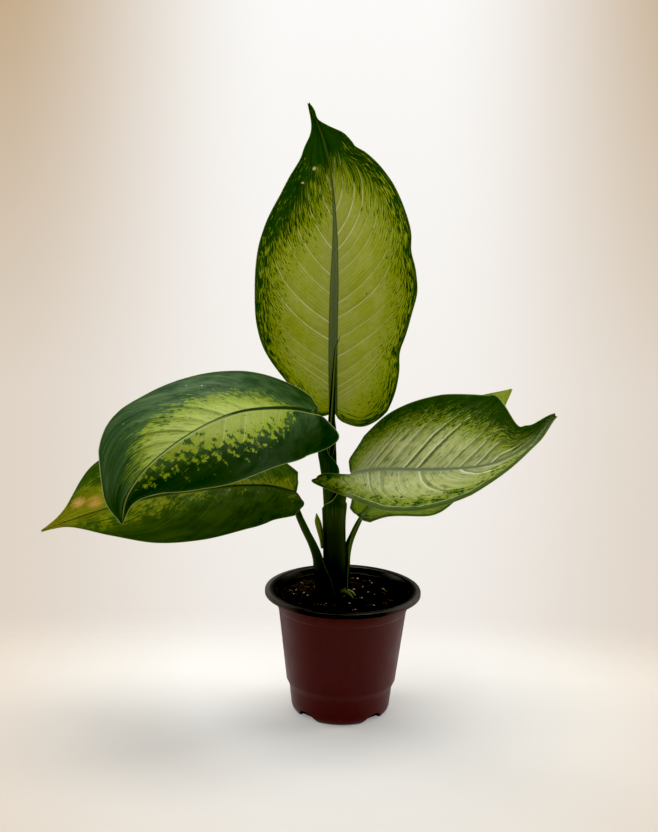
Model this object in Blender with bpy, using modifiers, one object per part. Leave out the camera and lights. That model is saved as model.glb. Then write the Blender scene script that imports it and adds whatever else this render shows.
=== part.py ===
"""Potted dumb cane: a thin nursery pot, its potting mix, and a young plant with five leaves.

Z is up and the origin is the middle of the pot's flat underside. Sizes are in millimetres
until a mesh is made. Azimuth is counted counter-clockwise from +X, seen from above.
"""

import math
import random

import bmesh
import bpy
import numpy as np
from mathutils import Matrix, Vector

MM = 0.001
GAP = 0.3  # clearance between pieces that touch

# Pot
POT_STEPS = 36
RIM_RADIUS = 60.0
RIM_TOP = 98.6
LIP_DEPTH = 3.4
FLANGE_INNER = 53.6
SHEET = 1.0  # thickness of the moulded sheet
COLLAR_TOP = (50.4, 93.8)
COLLAR_FOOT = (50.0, 84.2)
WALL_TOP = (49.2, 83.4)
WALL_FOOT = (42.4, 27.0)
BAND_TOP = (39.7, 20.4)
BAND_FOOT = (38.4, 8.6)
BASE_RADIUS = 32.5
NOTCH_COUNT = 4
NOTCH_FIRST = 45.0  # azimuth of the first drainage notch
NOTCH_RADIUS = 11.5
NOTCH_CENTRE = -4.2  # height of the notch cylinder's axis
NOTCH_INNER = 29.0

# Potting mix
SOIL_LEVEL = 91.5
SOIL_BOTTOM = 1.5
SOIL_SIDES = 40
SOIL_RINGS = 5
SOIL_RELIEF = 0.7
SOIL_MOUND = 1.0
MOUND_SPREAD = 22.0
PERLITE_SPACE = 0.6
HOLE_CENTRE = (-7.6, 0.4)
HOLE_RADIUS = 13.9
HOLE_FLOOR = 44.0
PERLITE_COUNT = 24
PERLITE_RADIUS = (1.0, 2.1)
PERLITE_SEED = 11

# Stem: points of its axis and the radii that the wrapped sheaths leave free
AXIS = [(-6.5, 0.5, 40), (-6.5, 0.5, 92), (-9.1, 0.2, 160), (-12.2, -0.8, 212)]
STEM_SIDES = 20
CANE_STEPS = [(44.3, 7.5), (49, 11.4), (85.7, 11.4), (85.7, 9.2), (100.4, 9.2), (100.4, 6.9), (104.7, 6.9),
              (104.7, 5.0), (117.7, 5.0), (117.7, 3.2), (129.7, 3.2)]
ROOTS = [
    [(-2, -5, 97.5), (2.2, -8.6, 98.6), (5.6, -10.2, 97.2), (8.0, -10.8, 94.8)],
    [(0, -2, 97.0), (4.6, -4.4, 98.4), (7.6, -5.6, 97.4), (9.8, -6.2, 95.0)],
]
ROOT_RADIUS = 1.15

# Rolled leaf and side shoot: x, y, z, radius
ROLLED_LEAF = [(-7.95, 0.33, 130, 3.1), (-9.1, 0.2, 160, 3.1), (-12.2, -0.8, 212, 3.1), (-11.6, -1.4, 236, 2.8),
               (-11.0, -2.2, 256, 2.3), (-10.4, -3.5, 276, 1.6), (-9.2, -5.0, 290, 0.9), (-6.6, -6.0, 297, 0.3)]
SIDE_SHOOT = [(-16.9, 4.8, 129, 0.8), (-17.4, 4.9, 136, 1.6), (-18.7, 4.6, 143, 2.3), (-20.5, 4.3, 151, 2.3),
              (-21.5, 3.9, 157, 0.35)]

# Leaf outline, shared by all leaves: one column for each knot from the notch at the stalk round to the tip.
# ROUND is the knot's place in that walk, ALONG its share of the length, ROOT where its side vein leaves the midrib.
ROUND = (0, 0.07, 0.15, 0.24, 0.34, 0.46, 0.58, 0.70, 0.82, 0.92, 1)
ALONG = (-0.035, -0.055, -0.08, -0.045, 0.05, 0.205, 0.39, 0.575, 0.755, 0.90, 1)
ROOT = (0, 0.011, 0.026, 0.048, 0.085, 0.165, 0.295, 0.455, 0.64, 0.835, 0.995)
LOBE_KNOTS = 5  # the first knots, at which each basal lobe has its own reach
VEIN_SWEEP = 0.4  # bend of the side veins towards the margin: 0 is straight
RIPPLE_FADES = (0.12, 0.1)  # shares of the walk, at the notch and the tip, over which the ripples fade
BLADE_THICKNESS = 0.7
BLADE_ROWS = 19
RIB_HALF_WIDTH = 1.9
RIB_DEPTH = 2.8  # below the upper face where it is deepest
RIB_RAMP = (0.3, 6, 0.8)  # share of that depth at the notch, its growth along the walk, its loss towards the tip
RIB_WIDEST = 0.25  # share of the half width that the rib never passes
COLUMN_SHARES = (0.38, 0.71, 1)  # columns of the blade outside the rib, as shares of the half width
STALK_SIDES = 12

# Each leaf: midrib points, the way its upper face looks at shares of the length, widths of the left and right
# halves at the shared knots, how far and which way the basal lobes reach, fold and curl of each half in degrees
# at shares of the length, ripples (side, height, count, phase), and the stations of its sheath and stalk: centre
# ("axis" and a height, or a point), azimuth of the back, inner radius, thickness in the middle and at the edges,
# wrap clockwise and counter-clockwise in degrees, hollow of the inner face (1 follows the outside, 0 is flat).
LEAVES = {
    "leaf_top": {
        "colour": (0.22, 0.31, 0.03),
        "midrib": [(-10.5, 4, 237), (-11.5, 8, 269), (-12, 13, 299), (-12, 20, 335), (-12.5, 29, 371), (-15, 37, 401),
                   (-20.5, 44, 430), (-27, 49, 448), (-35, 52, 464)],
        "faces": [(0, 0.02, -0.98, 0.2), (0.5, -0.03, -0.96, 0.25), (1, -0.1, -0.95, 0.25)],
        "widths": [(2, 5, 9, 15, 29, 54, 60, 55, 33, 8, 0.6), (3.5, 8, 21, 34, 46, 53, 61, 57, 39, 8, 0.6)],
        "lobes": ([0.2] * LOBE_KNOTS, [0.62] * LOBE_KNOTS),
        "lobe_ways": (None, None),
        "fold": [((0, -18), (0.3, 2), (1, 8)), ((0, 2), (1, 8))],
        "curl": [((0, -20), (0.4, -6), (1, -6)), ((0, -10), (1, -10))],
        "ripples": [(1, 3.0, 3.2, 0.1), (0, 2.0, 2.3, 0.3)],
        "stalk": [("axis", 118, 90, 3.5, 1.5, 1.1, 172, 172, 1), ("axis", 160, 90, 3.5, 1.5, 1.1, 172, 172, 1),
                  ("axis", 205, 90, 3.5, 1.5, 1.1, 165, 165, 1), ("axis", 212, 90, 3.7, 1.6, 1.0, 130, 130, 1),
                  ((-12.0, -0.9, 219), 90, 3.7, 1.7, 1.0, 100, 100, 1),
                  ((-11.8, 0.0, 226), 90, 3.3, 2.0, 1.1, 80, 80, 1), ((-11.3, 2.2, 232), 90, 1.8, 2.2, 1.2, 85, 85, 0.8)],
    },
    "leaf_upper_left": {
        "colour": (0.03, 0.09, 0.02),
        "midrib": [(-23, -8, 239), (-38, -17, 243.5), (-56, -30, 246.5), (-79, -48, 247), (-103, -67, 240),
                   (-126, -83, 227), (-145, -96, 210), (-154, -103, 194), (-156, -105, 178)],
        "faces": [(0, 0.2, -0.6, 0.78), (0.3, 0.23, -0.48, 0.85), (0.6, 0.23, -0.48, 0.85), (1, 0.1, -0.6, 0.6)],
        "widths": [(3, 8, 17, 26, 36, 46, 51, 46, 28, 8, 0.6), (2, 4, 7, 11, 21, 41, 51, 53, 48, 20, 0.6)],
        "lobes": ([0.95] * LOBE_KNOTS, [0.25] * LOBE_KNOTS),
        "lobe_ways": ((0.95, -0.3, -0.15), None),
        "fold": [((0, -6), (1, -6)), ((0, 0), (1, -6))],
        "curl": [((0, -18), (1, -16)), ((0, -4), (1, -8))],
        "ripples": [(0, 1.6, 2.2, 0), (1, 1.6, 2.6, 0.2)],
        "stalk": [("axis", 105, 208, 5.35, 1.5, 1.2, 172, 172, 1), ("axis", 160, 208, 5.35, 1.5, 1.2, 172, 172, 1),
                  ("axis", 189, 208, 5.5, 2.3, 1.2, 168, 168, 1), ("axis", 195, 208, 5.7, 2.8, 1.2, 130, 130, 1),
                  ((-12.0, -0.8, 201), 208, 5.6, 3.1, 1.2, 100, 100, 1),
                  ((-13.7, -1.6, 207), 208, 5.2, 3.1, 1.3, 75, 75, 1),
                  ((-16.6, -3.2, 216), 208, 2.6, 3.0, 1.4, 80, 80, 0.8),
                  ((-19.0, -5.0, 225), 208, 1.5, 2.8, 1.4, 90, 90, 0.5),
                  ((-20.9, -6.4, 233), 208, 1.2, 2.8, 1.4, 90, 90, 0.3)],
    },
    "leaf_lower_left": {
        "colour": (0.06, 0.12, 0.01),
        "midrib": [(-37, -4, 175), (-57, -6.5, 180), (-76.5, -10, 181), (-109, -15, 178.5), (-146, -20, 173),
                   (-183, -26, 163.5), (-205, -30, 156.5), (-226, -34, 149)],
        "faces": [(0, 0.05, -0.5, 0.87), (1, 0.05, -0.5, 0.87)],
        "widths": [(2, 6, 11, 17, 29, 43, 50, 44, 24, 5, 0.6), (3, 8, 13, 18, 27, 45, 54, 58, 49, 13, 0.6)],
        "lobes": ([0.4] * LOBE_KNOTS, [0.05] * LOBE_KNOTS),
        "lobe_ways": (None, None),
        "fold": [((0, 4), (1, 0)), ((0, 4), (1, 0))],
        "curl": [((0, -8), (1, -8)), ((0, -8), (1, -8))],
        "ripples": [(0, 1.5, 2.2, 0), (1, 1.5, 2.6, 0.2)],
        "stalk": [("axis", 86, 187, 9.9, 4.4, 1.4, 70, 95, 1), ("axis", 104, 187, 9.9, 4.8, 1.2, 55, 80, 1),
                  ((-10.4, 0.0, 121), 187, 9.6, 4.4, 1.2, 26, 62, 1),
                  ((-19.4, -3.0, 137), 187, 3.2, 3.6, 1.4, 50, 80, 0.9),
                  ((-26.4, -4.4, 150), 187, 1.7, 3.0, 1.4, 90, 90, 0.6),
                  ((-32.2, -4.6, 162), 187, 1.3, 2.8, 1.4, 90, 90, 0.4)],
    },
    "leaf_upper_right": {
        "colour": (0.30, 0.36, 0.14),
        "midrib": [(4, -8, 192.5), (23, -24, 200), (53, -51, 208), (76.5, -72, 215), (99, -91, 223.5),
                   (115, -103, 234), (129, -111, 246), (142, -118, 263)],
        "faces": [(0, -0.35, -0.45, 0.83), (0.7, -0.33, -0.5, 0.8), (1, -0.5, -0.4, 0.7)],
        "widths": [(2, 6, 13, 26, 41, 55, 62, 59, 47, 17, 1.5), (1.5, 5, 10, 17.5, 28, 41, 48, 41, 20, 4, 0.6)],
        "lobes": ([0.3] * LOBE_KNOTS, [0.8, 1.5, 1.4, 1.8, 1.5]),
        "lobe_ways": (None, (-0.95, -0.22, 0.22)),
        "fold": [((0, 14), (1, 18)), ((0, 14), (1, 18))],
        "curl": [((0, 6), (1, 6)), ((0, -10), (1, -10))],
        "ripples": [(0, 2.2, 2.6, 0), (1, 1.6, 2.2, 0.2)],
        "stalk": [("axis", 101, 330, 7.25, 2.0, 1.3, 172, 172, 1), ("axis", 130, 330, 7.25, 2.4, 1.3, 172, 172, 1),
                  ("axis", 160, 330, 7.4, 3.2, 1.3, 165, 165, 1), ("axis", 164, 330, 7.7, 3.6, 1.3, 130, 130, 1),
                  ("axis", 168, 330, 7.7, 3.8, 1.3, 100, 100, 1),
                  ((-8.4, -1.0, 172), 330, 7.2, 3.8, 1.4, 75, 75, 1),
                  ((-5.3, -2.9, 177), 330, 4.8, 3.6, 1.4, 70, 70, 1),
                  ((-0.8, -5.2, 184), 330, 2.2, 3.2, 1.5, 90, 90, 0.7)],
    },
    "leaf_lower_right": {
        "colour": (0.14, 0.22, 0.02),
        "midrib": [(12, 6, 154.5), (20, 14, 161), (42.5, 36, 174), (74.5, 64, 195), (107, 90, 217.5),
                   (133.5, 108, 235.5)],
        "faces": [(0, -0.2, -0.35, 0.9), (1, -0.2, -0.45, 0.85)],
        "widths": [(1, 2.5, 4.5, 8, 16, 36, 46, 42, 30, 15, 0.6), (1, 1.8, 3, 5, 15.5, 42, 43.5, 38, 25, 10, 0.6)],
        "lobes": ([0.1] * LOBE_KNOTS, [0.1] * LOBE_KNOTS),
        "lobe_ways": (None, None),
        "fold": [((0, 40), (0.4, 0), (1, -4)), ((0, -4), (0.4, -9), (1, -4))],
        "curl": [((0, -8), (1, -4)), ((0, -14), (1, -8))],
        "ripples": [(0, 1.2, 2.6, 0), (1, 1.2, 2.2, 0.2)],
        "stalk": [("axis", 86, 25, 9.9, 2.0, 1.4, 28, 80, 1), ("axis", 104, 25, 9.9, 3.0, 1.2, 22, 58, 1),
                  ((-4.4, 2.2, 121), 25, 8.2, 2.8, 1.2, 20, 34, 1),
                  ((3.6, 5.2, 137), 25, 2.0, 2.4, 1.2, 80, 80, 0.8), ((8.2, 6.0, 147), 25, 1.2, 2.3, 1.2, 90, 90, 0.5)],
    },
}
STALK_END = 11.0  # how far the stalk's slim end runs on inside the rib

POT_COLOUR = (0.10, 0.02, 0.018)
SOIL_COLOUR = (0.012, 0.009, 0.007)
CANE_COLOUR = (0.09, 0.11, 0.03)
ROLLED_COLOUR = (0.02, 0.05, 0.01)
SHOOT_COLOUR = (0.22, 0.30, 0.05)


def clear_scene():
    for obj in list(bpy.data.objects):
        bpy.data.objects.remove(obj, do_unlink=True)


def new_collection(name):
    collection = bpy.data.collections.new(name)
    bpy.context.scene.collection.children.link(collection)
    return collection


def plain_material(name, colour, roughness):
    material = bpy.data.materials.new(name)
    material.use_nodes = True
    shader = material.node_tree.nodes["Principled BSDF"]
    shader.inputs["Base Color"].default_value = (*colour, 1)
    shader.inputs["Roughness"].default_value = roughness
    shader.inputs["Metallic"].default_value = 0
    return material


def add_object(name, mesh, collection, material=None):
    obj = bpy.data.objects.new(name, mesh)
    collection.objects.link(obj)
    if material:
        mesh.materials.append(material)
    return obj


def mesh_from(name, points, faces):
    """Mesh of points in millimetres, with its faces turned outwards."""
    mesh = bpy.data.meshes.new(name)
    mesh.from_pydata([tuple(MM * c for c in p) for p in points], [], faces)
    shape = bmesh.new()
    shape.from_mesh(mesh)
    bmesh.ops.recalc_face_normals(shape, faces=shape.faces)
    shape.to_mesh(mesh)
    shape.free()
    mesh.shade_smooth()
    mesh.set_sharp_from_angle(angle=math.radians(40))
    return mesh


def apply_modifiers(obj):
    """Replaces the object's mesh by its evaluated one and drops its modifiers."""
    graph = bpy.context.evaluated_depsgraph_get()
    mesh = bpy.data.meshes.new_from_object(obj.evaluated_get(graph))
    obj.modifiers.clear()
    obj.data = mesh


def join_by_union(obj, pieces, name):
    """One Boolean union of the object with loose pieces, which are then removed."""
    group = new_collection(name)
    for piece in pieces:
        for owner in list(piece.users_collection):
            owner.objects.unlink(piece)
        group.objects.link(piece)
    modifier = obj.modifiers.new("Joined", "BOOLEAN")
    modifier.operation = "UNION"
    modifier.operand_type = "COLLECTION"
    modifier.collection = group
    modifier.solver = "MANIFOLD"
    apply_modifiers(obj)
    for piece in list(group.objects):
        bpy.data.objects.remove(piece, do_unlink=True)
    bpy.data.collections.remove(group)


def through(knots, values, at):
    """Smooth curve through values given at rising knots, read at the given places."""
    knots = np.asarray(knots, float)
    values = np.asarray(values, float)
    if values.ndim == 1:
        return through(knots, values[:, None], at)[..., 0]
    step = np.diff(knots)[:, None]
    rate = np.diff(values, axis=0) / step
    slope = np.empty_like(values)
    slope[0], slope[-1] = rate[0], rate[-1]
    slope[1:-1] = (rate[:-1] * step[1:] + rate[1:] * step[:-1]) / (step[1:] + step[:-1])
    at = np.clip(np.asarray(at, float), knots[0], knots[-1])
    span = np.clip(np.searchsorted(knots, at, side="right") - 1, 0, len(knots) - 2)
    u = ((at - knots[span]) / step[span, 0])[..., None]
    first = (2 * u**3 - 3 * u**2 + 1) * values[span] + (u**3 - 2 * u**2 + u) * step[span] * slope[span]
    last = (3 * u**2 - 2 * u**3) * values[span + 1] + (u**3 - u**2) * step[span] * slope[span + 1]
    return first + last


def run_lengths(points):
    """Distance along a row of points to each of them."""
    return np.concatenate([[0], np.cumsum(np.linalg.norm(np.diff(points, axis=0), axis=1))])


def unit(vectors):
    return vectors / np.linalg.norm(vectors, axis=-1, keepdims=True)


def axis_point(height):
    """Point of the stem's axis, which is straight between its points."""
    axis = np.array(AXIS, float)
    return np.stack([np.interp(height, axis[:, 2], axis[:, k]) for k in range(3)], axis=-1)


def tangents(points):
    return unit(np.gradient(points, run_lengths(points), axis=0))


def ring_faces(rings, sides):
    """Quads between neighbouring closed rings of points."""
    faces = []
    for ring in range(rings - 1):
        for side in range(sides):
            after = (side + 1) % sides
            faces.append((ring * sides + side, ring * sides + after, (ring + 1) * sides + after,
                          (ring + 1) * sides + side))
    return faces


def round_loft(name, centres, radii, sides):
    """Closed body of circles round a path, with level rings where the path stands upright."""
    centres = np.asarray(centres, float)
    points = []
    for centre, radius in zip(centres, radii):
        for side in range(sides):
            angle = 2 * math.pi * side / sides
            points.append(centre + radius * np.array([math.cos(angle), math.sin(angle), 0]))
    faces = ring_faces(len(radii), sides)
    faces.append(tuple(range(sides)))
    faces.append(tuple((len(radii) - 1) * sides + side for side in range(sides)))
    return mesh_from(name, points, faces)


def pot_outer():
    """Outer side of the pot below its flange, top to bottom."""
    foot = [(BASE_RADIUS + (BAND_FOOT[0] - BASE_RADIUS) * math.cos(a), BAND_FOOT[1] * (1 - math.sin(a)))
            for a in (math.radians(30), math.radians(60))]
    return [COLLAR_TOP, COLLAR_FOOT, WALL_TOP, WALL_FOOT, BAND_TOP, BAND_FOOT, *foot, (BASE_RADIUS, 0)]


def pot_inner():
    """Inner side of the pot, top to bottom: the outer side moved in by the sheet."""
    outer = pot_outer()
    inner = [(radius - SHEET, height + 0.3 * SHEET) for radius, height in outer[:-3]]
    rounding = outer[-3:-1]
    inner += [(radius - 0.8 * SHEET, height + 0.8 * SHEET) for radius, height in rounding]
    inner.append((BASE_RADIUS, SHEET))
    return inner


def inner_radius(height):
    side = sorted((z, r) for r, z in pot_inner())
    return float(np.interp(height, [z for z, _ in side], [r for _, r in side]))


def make_pot(collection, cutters):
    flange_under = RIM_TOP - SHEET
    rim = [(FLANGE_INNER, RIM_TOP - 0.5), (FLANGE_INNER + 1.1, RIM_TOP), (RIM_RADIUS - 0.8, RIM_TOP),
           (RIM_RADIUS, RIM_TOP - 0.8), (RIM_RADIUS, RIM_TOP - LIP_DEPTH), (RIM_RADIUS - SHEET, RIM_TOP - LIP_DEPTH),
           (RIM_RADIUS - SHEET, flange_under), (FLANGE_INNER + 0.6, flange_under)]
    profile = [(0, SHEET)] + pot_inner()[::-1] + rim + pot_outer() + [(0, 0)]
    mesh = bpy.data.meshes.new("pot")
    points = [(MM * radius, 0, MM * height) for radius, height in profile]
    mesh.from_pydata(points, [(i, i + 1) for i in range(len(points) - 1)], [])
    pot = add_object("pot", mesh, collection, plain_material("burgundy_plastic", POT_COLOUR, 0.5))
    turned = pot.modifiers.new("Turned", "SCREW")
    turned.steps = POT_STEPS
    turned.render_steps = POT_STEPS
    turned.use_merge_vertices = True
    turned.merge_threshold = 0.0001
    cut_notches(pot, cutters)
    apply_modifiers(pot)
    pot.data.shade_smooth()
    pot.data.set_sharp_from_angle(angle=math.radians(35))


def cut_notches(pot, cutters):
    """Arched drainage notches through the bottom corner."""
    length = BAND_TOP[0] + 5 - NOTCH_INNER
    for index in range(NOTCH_COUNT):
        azimuth = math.radians(NOTCH_FIRST + 360 / NOTCH_COUNT * index)
        middle = NOTCH_INNER + length / 2
        shape = bmesh.new()
        bmesh.ops.create_cone(shape, cap_ends=True, segments=20, radius1=NOTCH_RADIUS * MM,
                              radius2=NOTCH_RADIUS * MM, depth=length * MM)
        turn = Matrix.Rotation(azimuth, 4, "Z") @ Matrix.Rotation(math.radians(90), 4, "Y")
        place = Matrix.Translation(Vector((math.cos(azimuth) * middle, math.sin(azimuth) * middle, NOTCH_CENTRE)) * MM)
        bmesh.ops.transform(shape, matrix=place @ turn, verts=shape.verts)
        mesh = bpy.data.meshes.new(f"notch_cutter_{index + 1}")
        shape.to_mesh(mesh)
        shape.free()
        cutter = add_object(mesh.name, mesh, cutters)
        cutter.hide_render = True
        cutter.display_type = "WIRE"
        cut = pot.modifiers.new(f"Notch {index + 1}", "BOOLEAN")
        cut.object = cutter
        cut.operation = "DIFFERENCE"
        cut.solver = "EXACT"


def soil_height(x, y):
    """Uneven surface with a low mound round the stem."""
    stem_x, stem_y = HOLE_CENTRE
    away = math.hypot(x - stem_x, y - stem_y)
    waves = math.sin(0.31 * x + 0.9) * math.cos(0.27 * y) + 0.6 * math.sin(0.52 * y - 0.35 * x + 2)
    return SOIL_LEVEL + SOIL_RELIEF * waves + SOIL_MOUND * math.exp(-((away / MOUND_SPREAD) ** 2))


def make_potting_mix(collection):
    stem = np.array(HOLE_CENTRE)
    top_radius = inner_radius(SOIL_LEVEL) - GAP
    angles = [2 * math.pi * side / SOIL_SIDES for side in range(SOIL_SIDES)]
    ways = [np.array([math.cos(a), math.sin(a)]) for a in angles]
    rings = [[(*(stem + HOLE_RADIUS * w), HOLE_FLOOR) for w in ways]]
    for ring in range(SOIL_RINGS + 1):
        share = ring / SOIL_RINGS
        row = []
        for way in ways:
            x, y = (1 - share) * (stem + HOLE_RADIUS * way) + share * top_radius * way
            row.append((x, y, soil_height(x, y)))
        rings.append(row)
    for radius, height in [p for p in pot_inner() if p[1] < SOIL_LEVEL - 4] + [(BASE_RADIUS - 1, SOIL_BOTTOM)]:
        level = max(height, SOIL_BOTTOM)
        rings.append([(*((radius - 1.6 * GAP) * way), level) for way in ways])
    points = [p for row in rings for p in row]
    faces = ring_faces(len(rings), SOIL_SIDES)
    points.append((*stem, HOLE_FLOOR))
    points.append((0, 0, SOIL_BOTTOM))
    last = (len(rings) - 1) * SOIL_SIDES
    for side in range(SOIL_SIDES):
        after = (side + 1) % SOIL_SIDES
        faces.append((after, side, len(points) - 2))
        faces.append((last + side, last + after, len(points) - 1))
    soil = add_object("potting_mix", mesh_from("potting_mix", points, faces), collection,
                      plain_material("peat_mix", SOIL_COLOUR, 0.95))
    join_by_union(soil, perlite_grains(collection, top_radius), "perlite")


def perlite_grains(collection, top_radius):
    """Uneven white grains, sunk by half into the surface and clear of the pot and of each other."""
    draw = random.Random(PERLITE_SEED)
    stem = HOLE_CENTRE
    taken = []
    grains = []
    while len(grains) < PERLITE_COUNT:
        radius = draw.uniform(*PERLITE_RADIUS)
        reach = draw.uniform(0, 1) ** 0.5 * (top_radius - radius - 1.5)
        angle = draw.uniform(0, 2 * math.pi)
        x, y = reach * math.cos(angle), reach * math.sin(angle)
        away = math.hypot(x - stem[0], y - stem[1])
        crowded = any(math.hypot(x - u, y - v) < radius + r + PERLITE_SPACE for u, v, r in taken)
        if away < HOLE_RADIUS + radius + 0.8 or crowded:
            continue
        taken.append((x, y, radius))
        shape = bmesh.new()
        bmesh.ops.create_icosphere(shape, subdivisions=1, radius=radius * MM)
        for vertex in shape.verts:
            vertex.co *= draw.uniform(0.8, 1.15)
            vertex.co.z *= 0.8
        bmesh.ops.translate(shape, vec=Vector((x, y, soil_height(x, y))) * MM, verts=shape.verts)
        mesh = bpy.data.meshes.new("grain")
        shape.to_mesh(mesh)
        shape.free()
        grains.append(add_object("grain", mesh, collection))
    return grains


def make_cane(collection):
    heights = [height for height, _ in CANE_STEPS]
    radii = [radius for _, radius in CANE_STEPS]
    cane = add_object("cane", round_loft("cane", axis_point(heights), radii, STEM_SIDES), collection,
                      plain_material("cane_bark", CANE_COLOUR, 0.6))
    join_by_union(cane, [root_tip(route, index, collection) for index, route in enumerate(ROOTS)], "roots")


def root_tip(route, index, collection):
    """Short tapered root as a beveled curve with welded caps."""
    curve = bpy.data.curves.new(f"root_{index + 1}", "CURVE")
    curve.dimensions = "3D"
    curve.bevel_depth = ROOT_RADIUS * MM
    curve.bevel_resolution = 2
    curve.use_fill_caps = True
    spline = curve.splines.new("POLY")
    spline.points.add(len(route) - 1)
    for point, place, width in zip(spline.points, route, (1, 1, 0.85, 0.45)):
        point.co = (*(c * MM for c in place), 1)
        point.radius = width
    guide = add_object(curve.name, curve, collection)
    bpy.context.view_layer.update()
    mesh = bpy.data.meshes.new_from_object(guide.evaluated_get(bpy.context.evaluated_depsgraph_get()))
    shape = bmesh.new()
    shape.from_mesh(mesh)
    bmesh.ops.remove_doubles(shape, verts=shape.verts, dist=0.00001)
    bmesh.ops.recalc_face_normals(shape, faces=shape.faces)
    shape.to_mesh(mesh)
    shape.free()
    root = add_object(f"root_mesh_{index + 1}", mesh, collection)
    root.matrix_world = guide.matrix_world
    bpy.data.objects.remove(guide, do_unlink=True)
    return root


def make_rolled_leaf(collection):
    rows = np.array(ROLLED_LEAF, float)
    mesh = round_loft("rolled_leaf", rows[:, :3], rows[:, 3], 12)
    add_object("rolled_leaf", mesh, collection, plain_material("rolled_leaf", ROLLED_COLOUR, 0.4))


def make_side_shoot(collection):
    rows = np.array(SIDE_SHOOT, float)
    mesh = round_loft("side_shoot", rows[:, :3], rows[:, 3], 10)
    add_object("side_shoot", mesh, collection, plain_material("side_shoot", SHOOT_COLOUR, 0.45))


class Blade:
    """Curved sheet of one leaf: a flat outline bent over its midrib."""

    def __init__(self, spec):
        self.spec = spec
        knots = np.array(spec["midrib"], float)
        place = run_lengths(knots)
        self.line = through(place, knots, np.linspace(0, place[-1], 200))
        self.place = run_lengths(self.line)
        self.length = self.place[-1]
        self.ahead = tangents(self.line)
        faces = np.array(spec["faces"], float)
        shares = self.place / self.length
        up = np.stack([np.interp(shares, faces[:, 0], faces[:, k]) for k in (1, 2, 3)], axis=1)
        self.up = unit(up - np.sum(up * self.ahead, axis=1, keepdims=True) * self.ahead)
        self.right = np.cross(self.ahead, self.up)

    def read(self, row, along):
        return np.array([np.interp(along, self.place, row[:, k]) for k in range(3)])

    def frame(self, along, right_half):
        """Point and frame of the midrib. Behind its start, the line runs on the lobe's own way."""
        point = self.read(self.line, along)
        if along < 0:
            way = self.spec["lobe_ways"][right_half]
            back = unit(np.array(way)) if way else -self.ahead[0]
            point = point - along * back
        return point, self.read(self.up, along), self.read(self.right, along)

    def flat(self, v, t):
        """Flat place of the outline walk v (0 at the notch, 1 at the tip) and share t of the way to the margin."""
        right_half = int(t > 0)
        margin = through(ROUND, ALONG, v)
        if margin < 0:
            margin *= through(ROUND[:LOBE_KNOTS], self.spec["lobes"][right_half], v)
        root = through(ROUND, ROOT, v)
        width = through(ROUND, self.spec["widths"][right_half], v)
        k = abs(t)
        return (root + (margin - root) * ((1 - VEIN_SWEEP) * k + VEIN_SWEEP * k * k)) * self.length, width * k

    def point(self, v, t):
        right_half = int(t > 0)
        along, across = self.flat(v, t)
        base, up, right = self.frame(along, right_half)
        share = min(max(along / self.length, 0), 1)
        fold = math.radians(np.interp(share, *zip(*self.spec["fold"][right_half])))
        curl = math.radians(np.interp(share, *zip(*self.spec["curl"][right_half])))
        bend = curl / max(self.spec["widths"][right_half])
        if abs(bend) < 1e-6:
            out, lift = across * math.cos(fold), across * math.sin(fold)
        else:
            out = (math.sin(fold + bend * across) - math.sin(fold)) / bend
            lift = (math.cos(fold) - math.cos(fold + bend * across)) / bend
        fade = min(v / RIPPLE_FADES[0], 1) * min((1 - v) / RIPPLE_FADES[1], 1)
        for side, height, count, phase in self.spec["ripples"]:
            if side == right_half:
                lift += height * t * t * math.sin(2 * math.pi * (count * v + phase)) * fade
        return base + (out if right_half else -out) * right + lift * up


def column_shares(v, widths):
    """Shares of one half width at which the grid has its columns: the rib's edge first."""
    rib = min(RIB_HALF_WIDTH / through(ROUND, widths, v), RIB_WIDEST)
    return [rib, *COLUMN_SHARES]


def blade_mesh(name, blade):
    """Open sheet on a grid that follows the side veins, split into triangles."""
    points = []
    for row in range(BLADE_ROWS):
        v = row / (BLADE_ROWS - 1)
        left, right = (column_shares(v, widths) for widths in blade.spec["widths"])
        for t in [-share for share in left[::-1]] + [0] + right:
            points.append(blade.point(v, t))
    half = len(COLUMN_SHARES) + 1
    columns = 2 * half + 1
    faces = []
    for row in range(BLADE_ROWS - 1):
        for column in range(columns - 1):
            a = row * columns + column
            b, c, d = a + 1, a + columns + 1, a + columns
            faces += [(a, b, c), (a, c, d)] if column < half else [(a, b, d), (b, c, d)]
    mesh = bpy.data.meshes.new(name)
    mesh.from_pydata([tuple(MM * c for c in p) for p in points], [], faces)
    return mesh


def thicken(leaf):
    """Gives the sheet its thickness, downwards, with the midrib's keel as the thick line of it."""
    half = len(COLUMN_SHARES) + 1
    columns = 2 * half + 1
    keel = leaf.vertex_groups.new(name="keel")
    start, growth, loss = RIB_RAMP
    for row in range(BLADE_ROWS):
        share = row / (BLADE_ROWS - 1)
        keel.add([row * columns + half], min(start + growth * share, 1 - loss * share), "REPLACE")
    thick = leaf.modifiers.new("Thickness", "SOLIDIFY")
    thick.thickness = RIB_DEPTH * MM
    thick.offset = -1
    thick.vertex_group = keel.name
    thick.thickness_vertex_group = BLADE_THICKNESS / RIB_DEPTH
    apply_modifiers(leaf)


def stalk_stations(blade):
    """Rings of sheath and stalk: centre, back direction and section sizes."""
    rings = []
    for row in blade.spec["stalk"]:
        if row[0] == "axis":
            centre, row = axis_point(row[1]), row[1:]
        else:
            centre = np.array(row[0], float)
        azimuth = math.radians(row[1])
        rings.append((centre, np.array([math.cos(azimuth), math.sin(azimuth), 0]), np.array(row[2:], float)))
    thick = rings[-1][2][1]
    start = blade.up[0]
    rings.append((blade.line[0] - 0.35 * start, -start, np.array([0.9, 0.8 * thick, 1.0, 90, 90, 0])))
    end = blade.read(blade.line, STALK_END) - 1.2 * blade.read(blade.up, STALK_END)
    rings.append((end, -start, np.array([0.2, 0.7, 0.4, 90, 90, 0])))
    return rings


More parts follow.
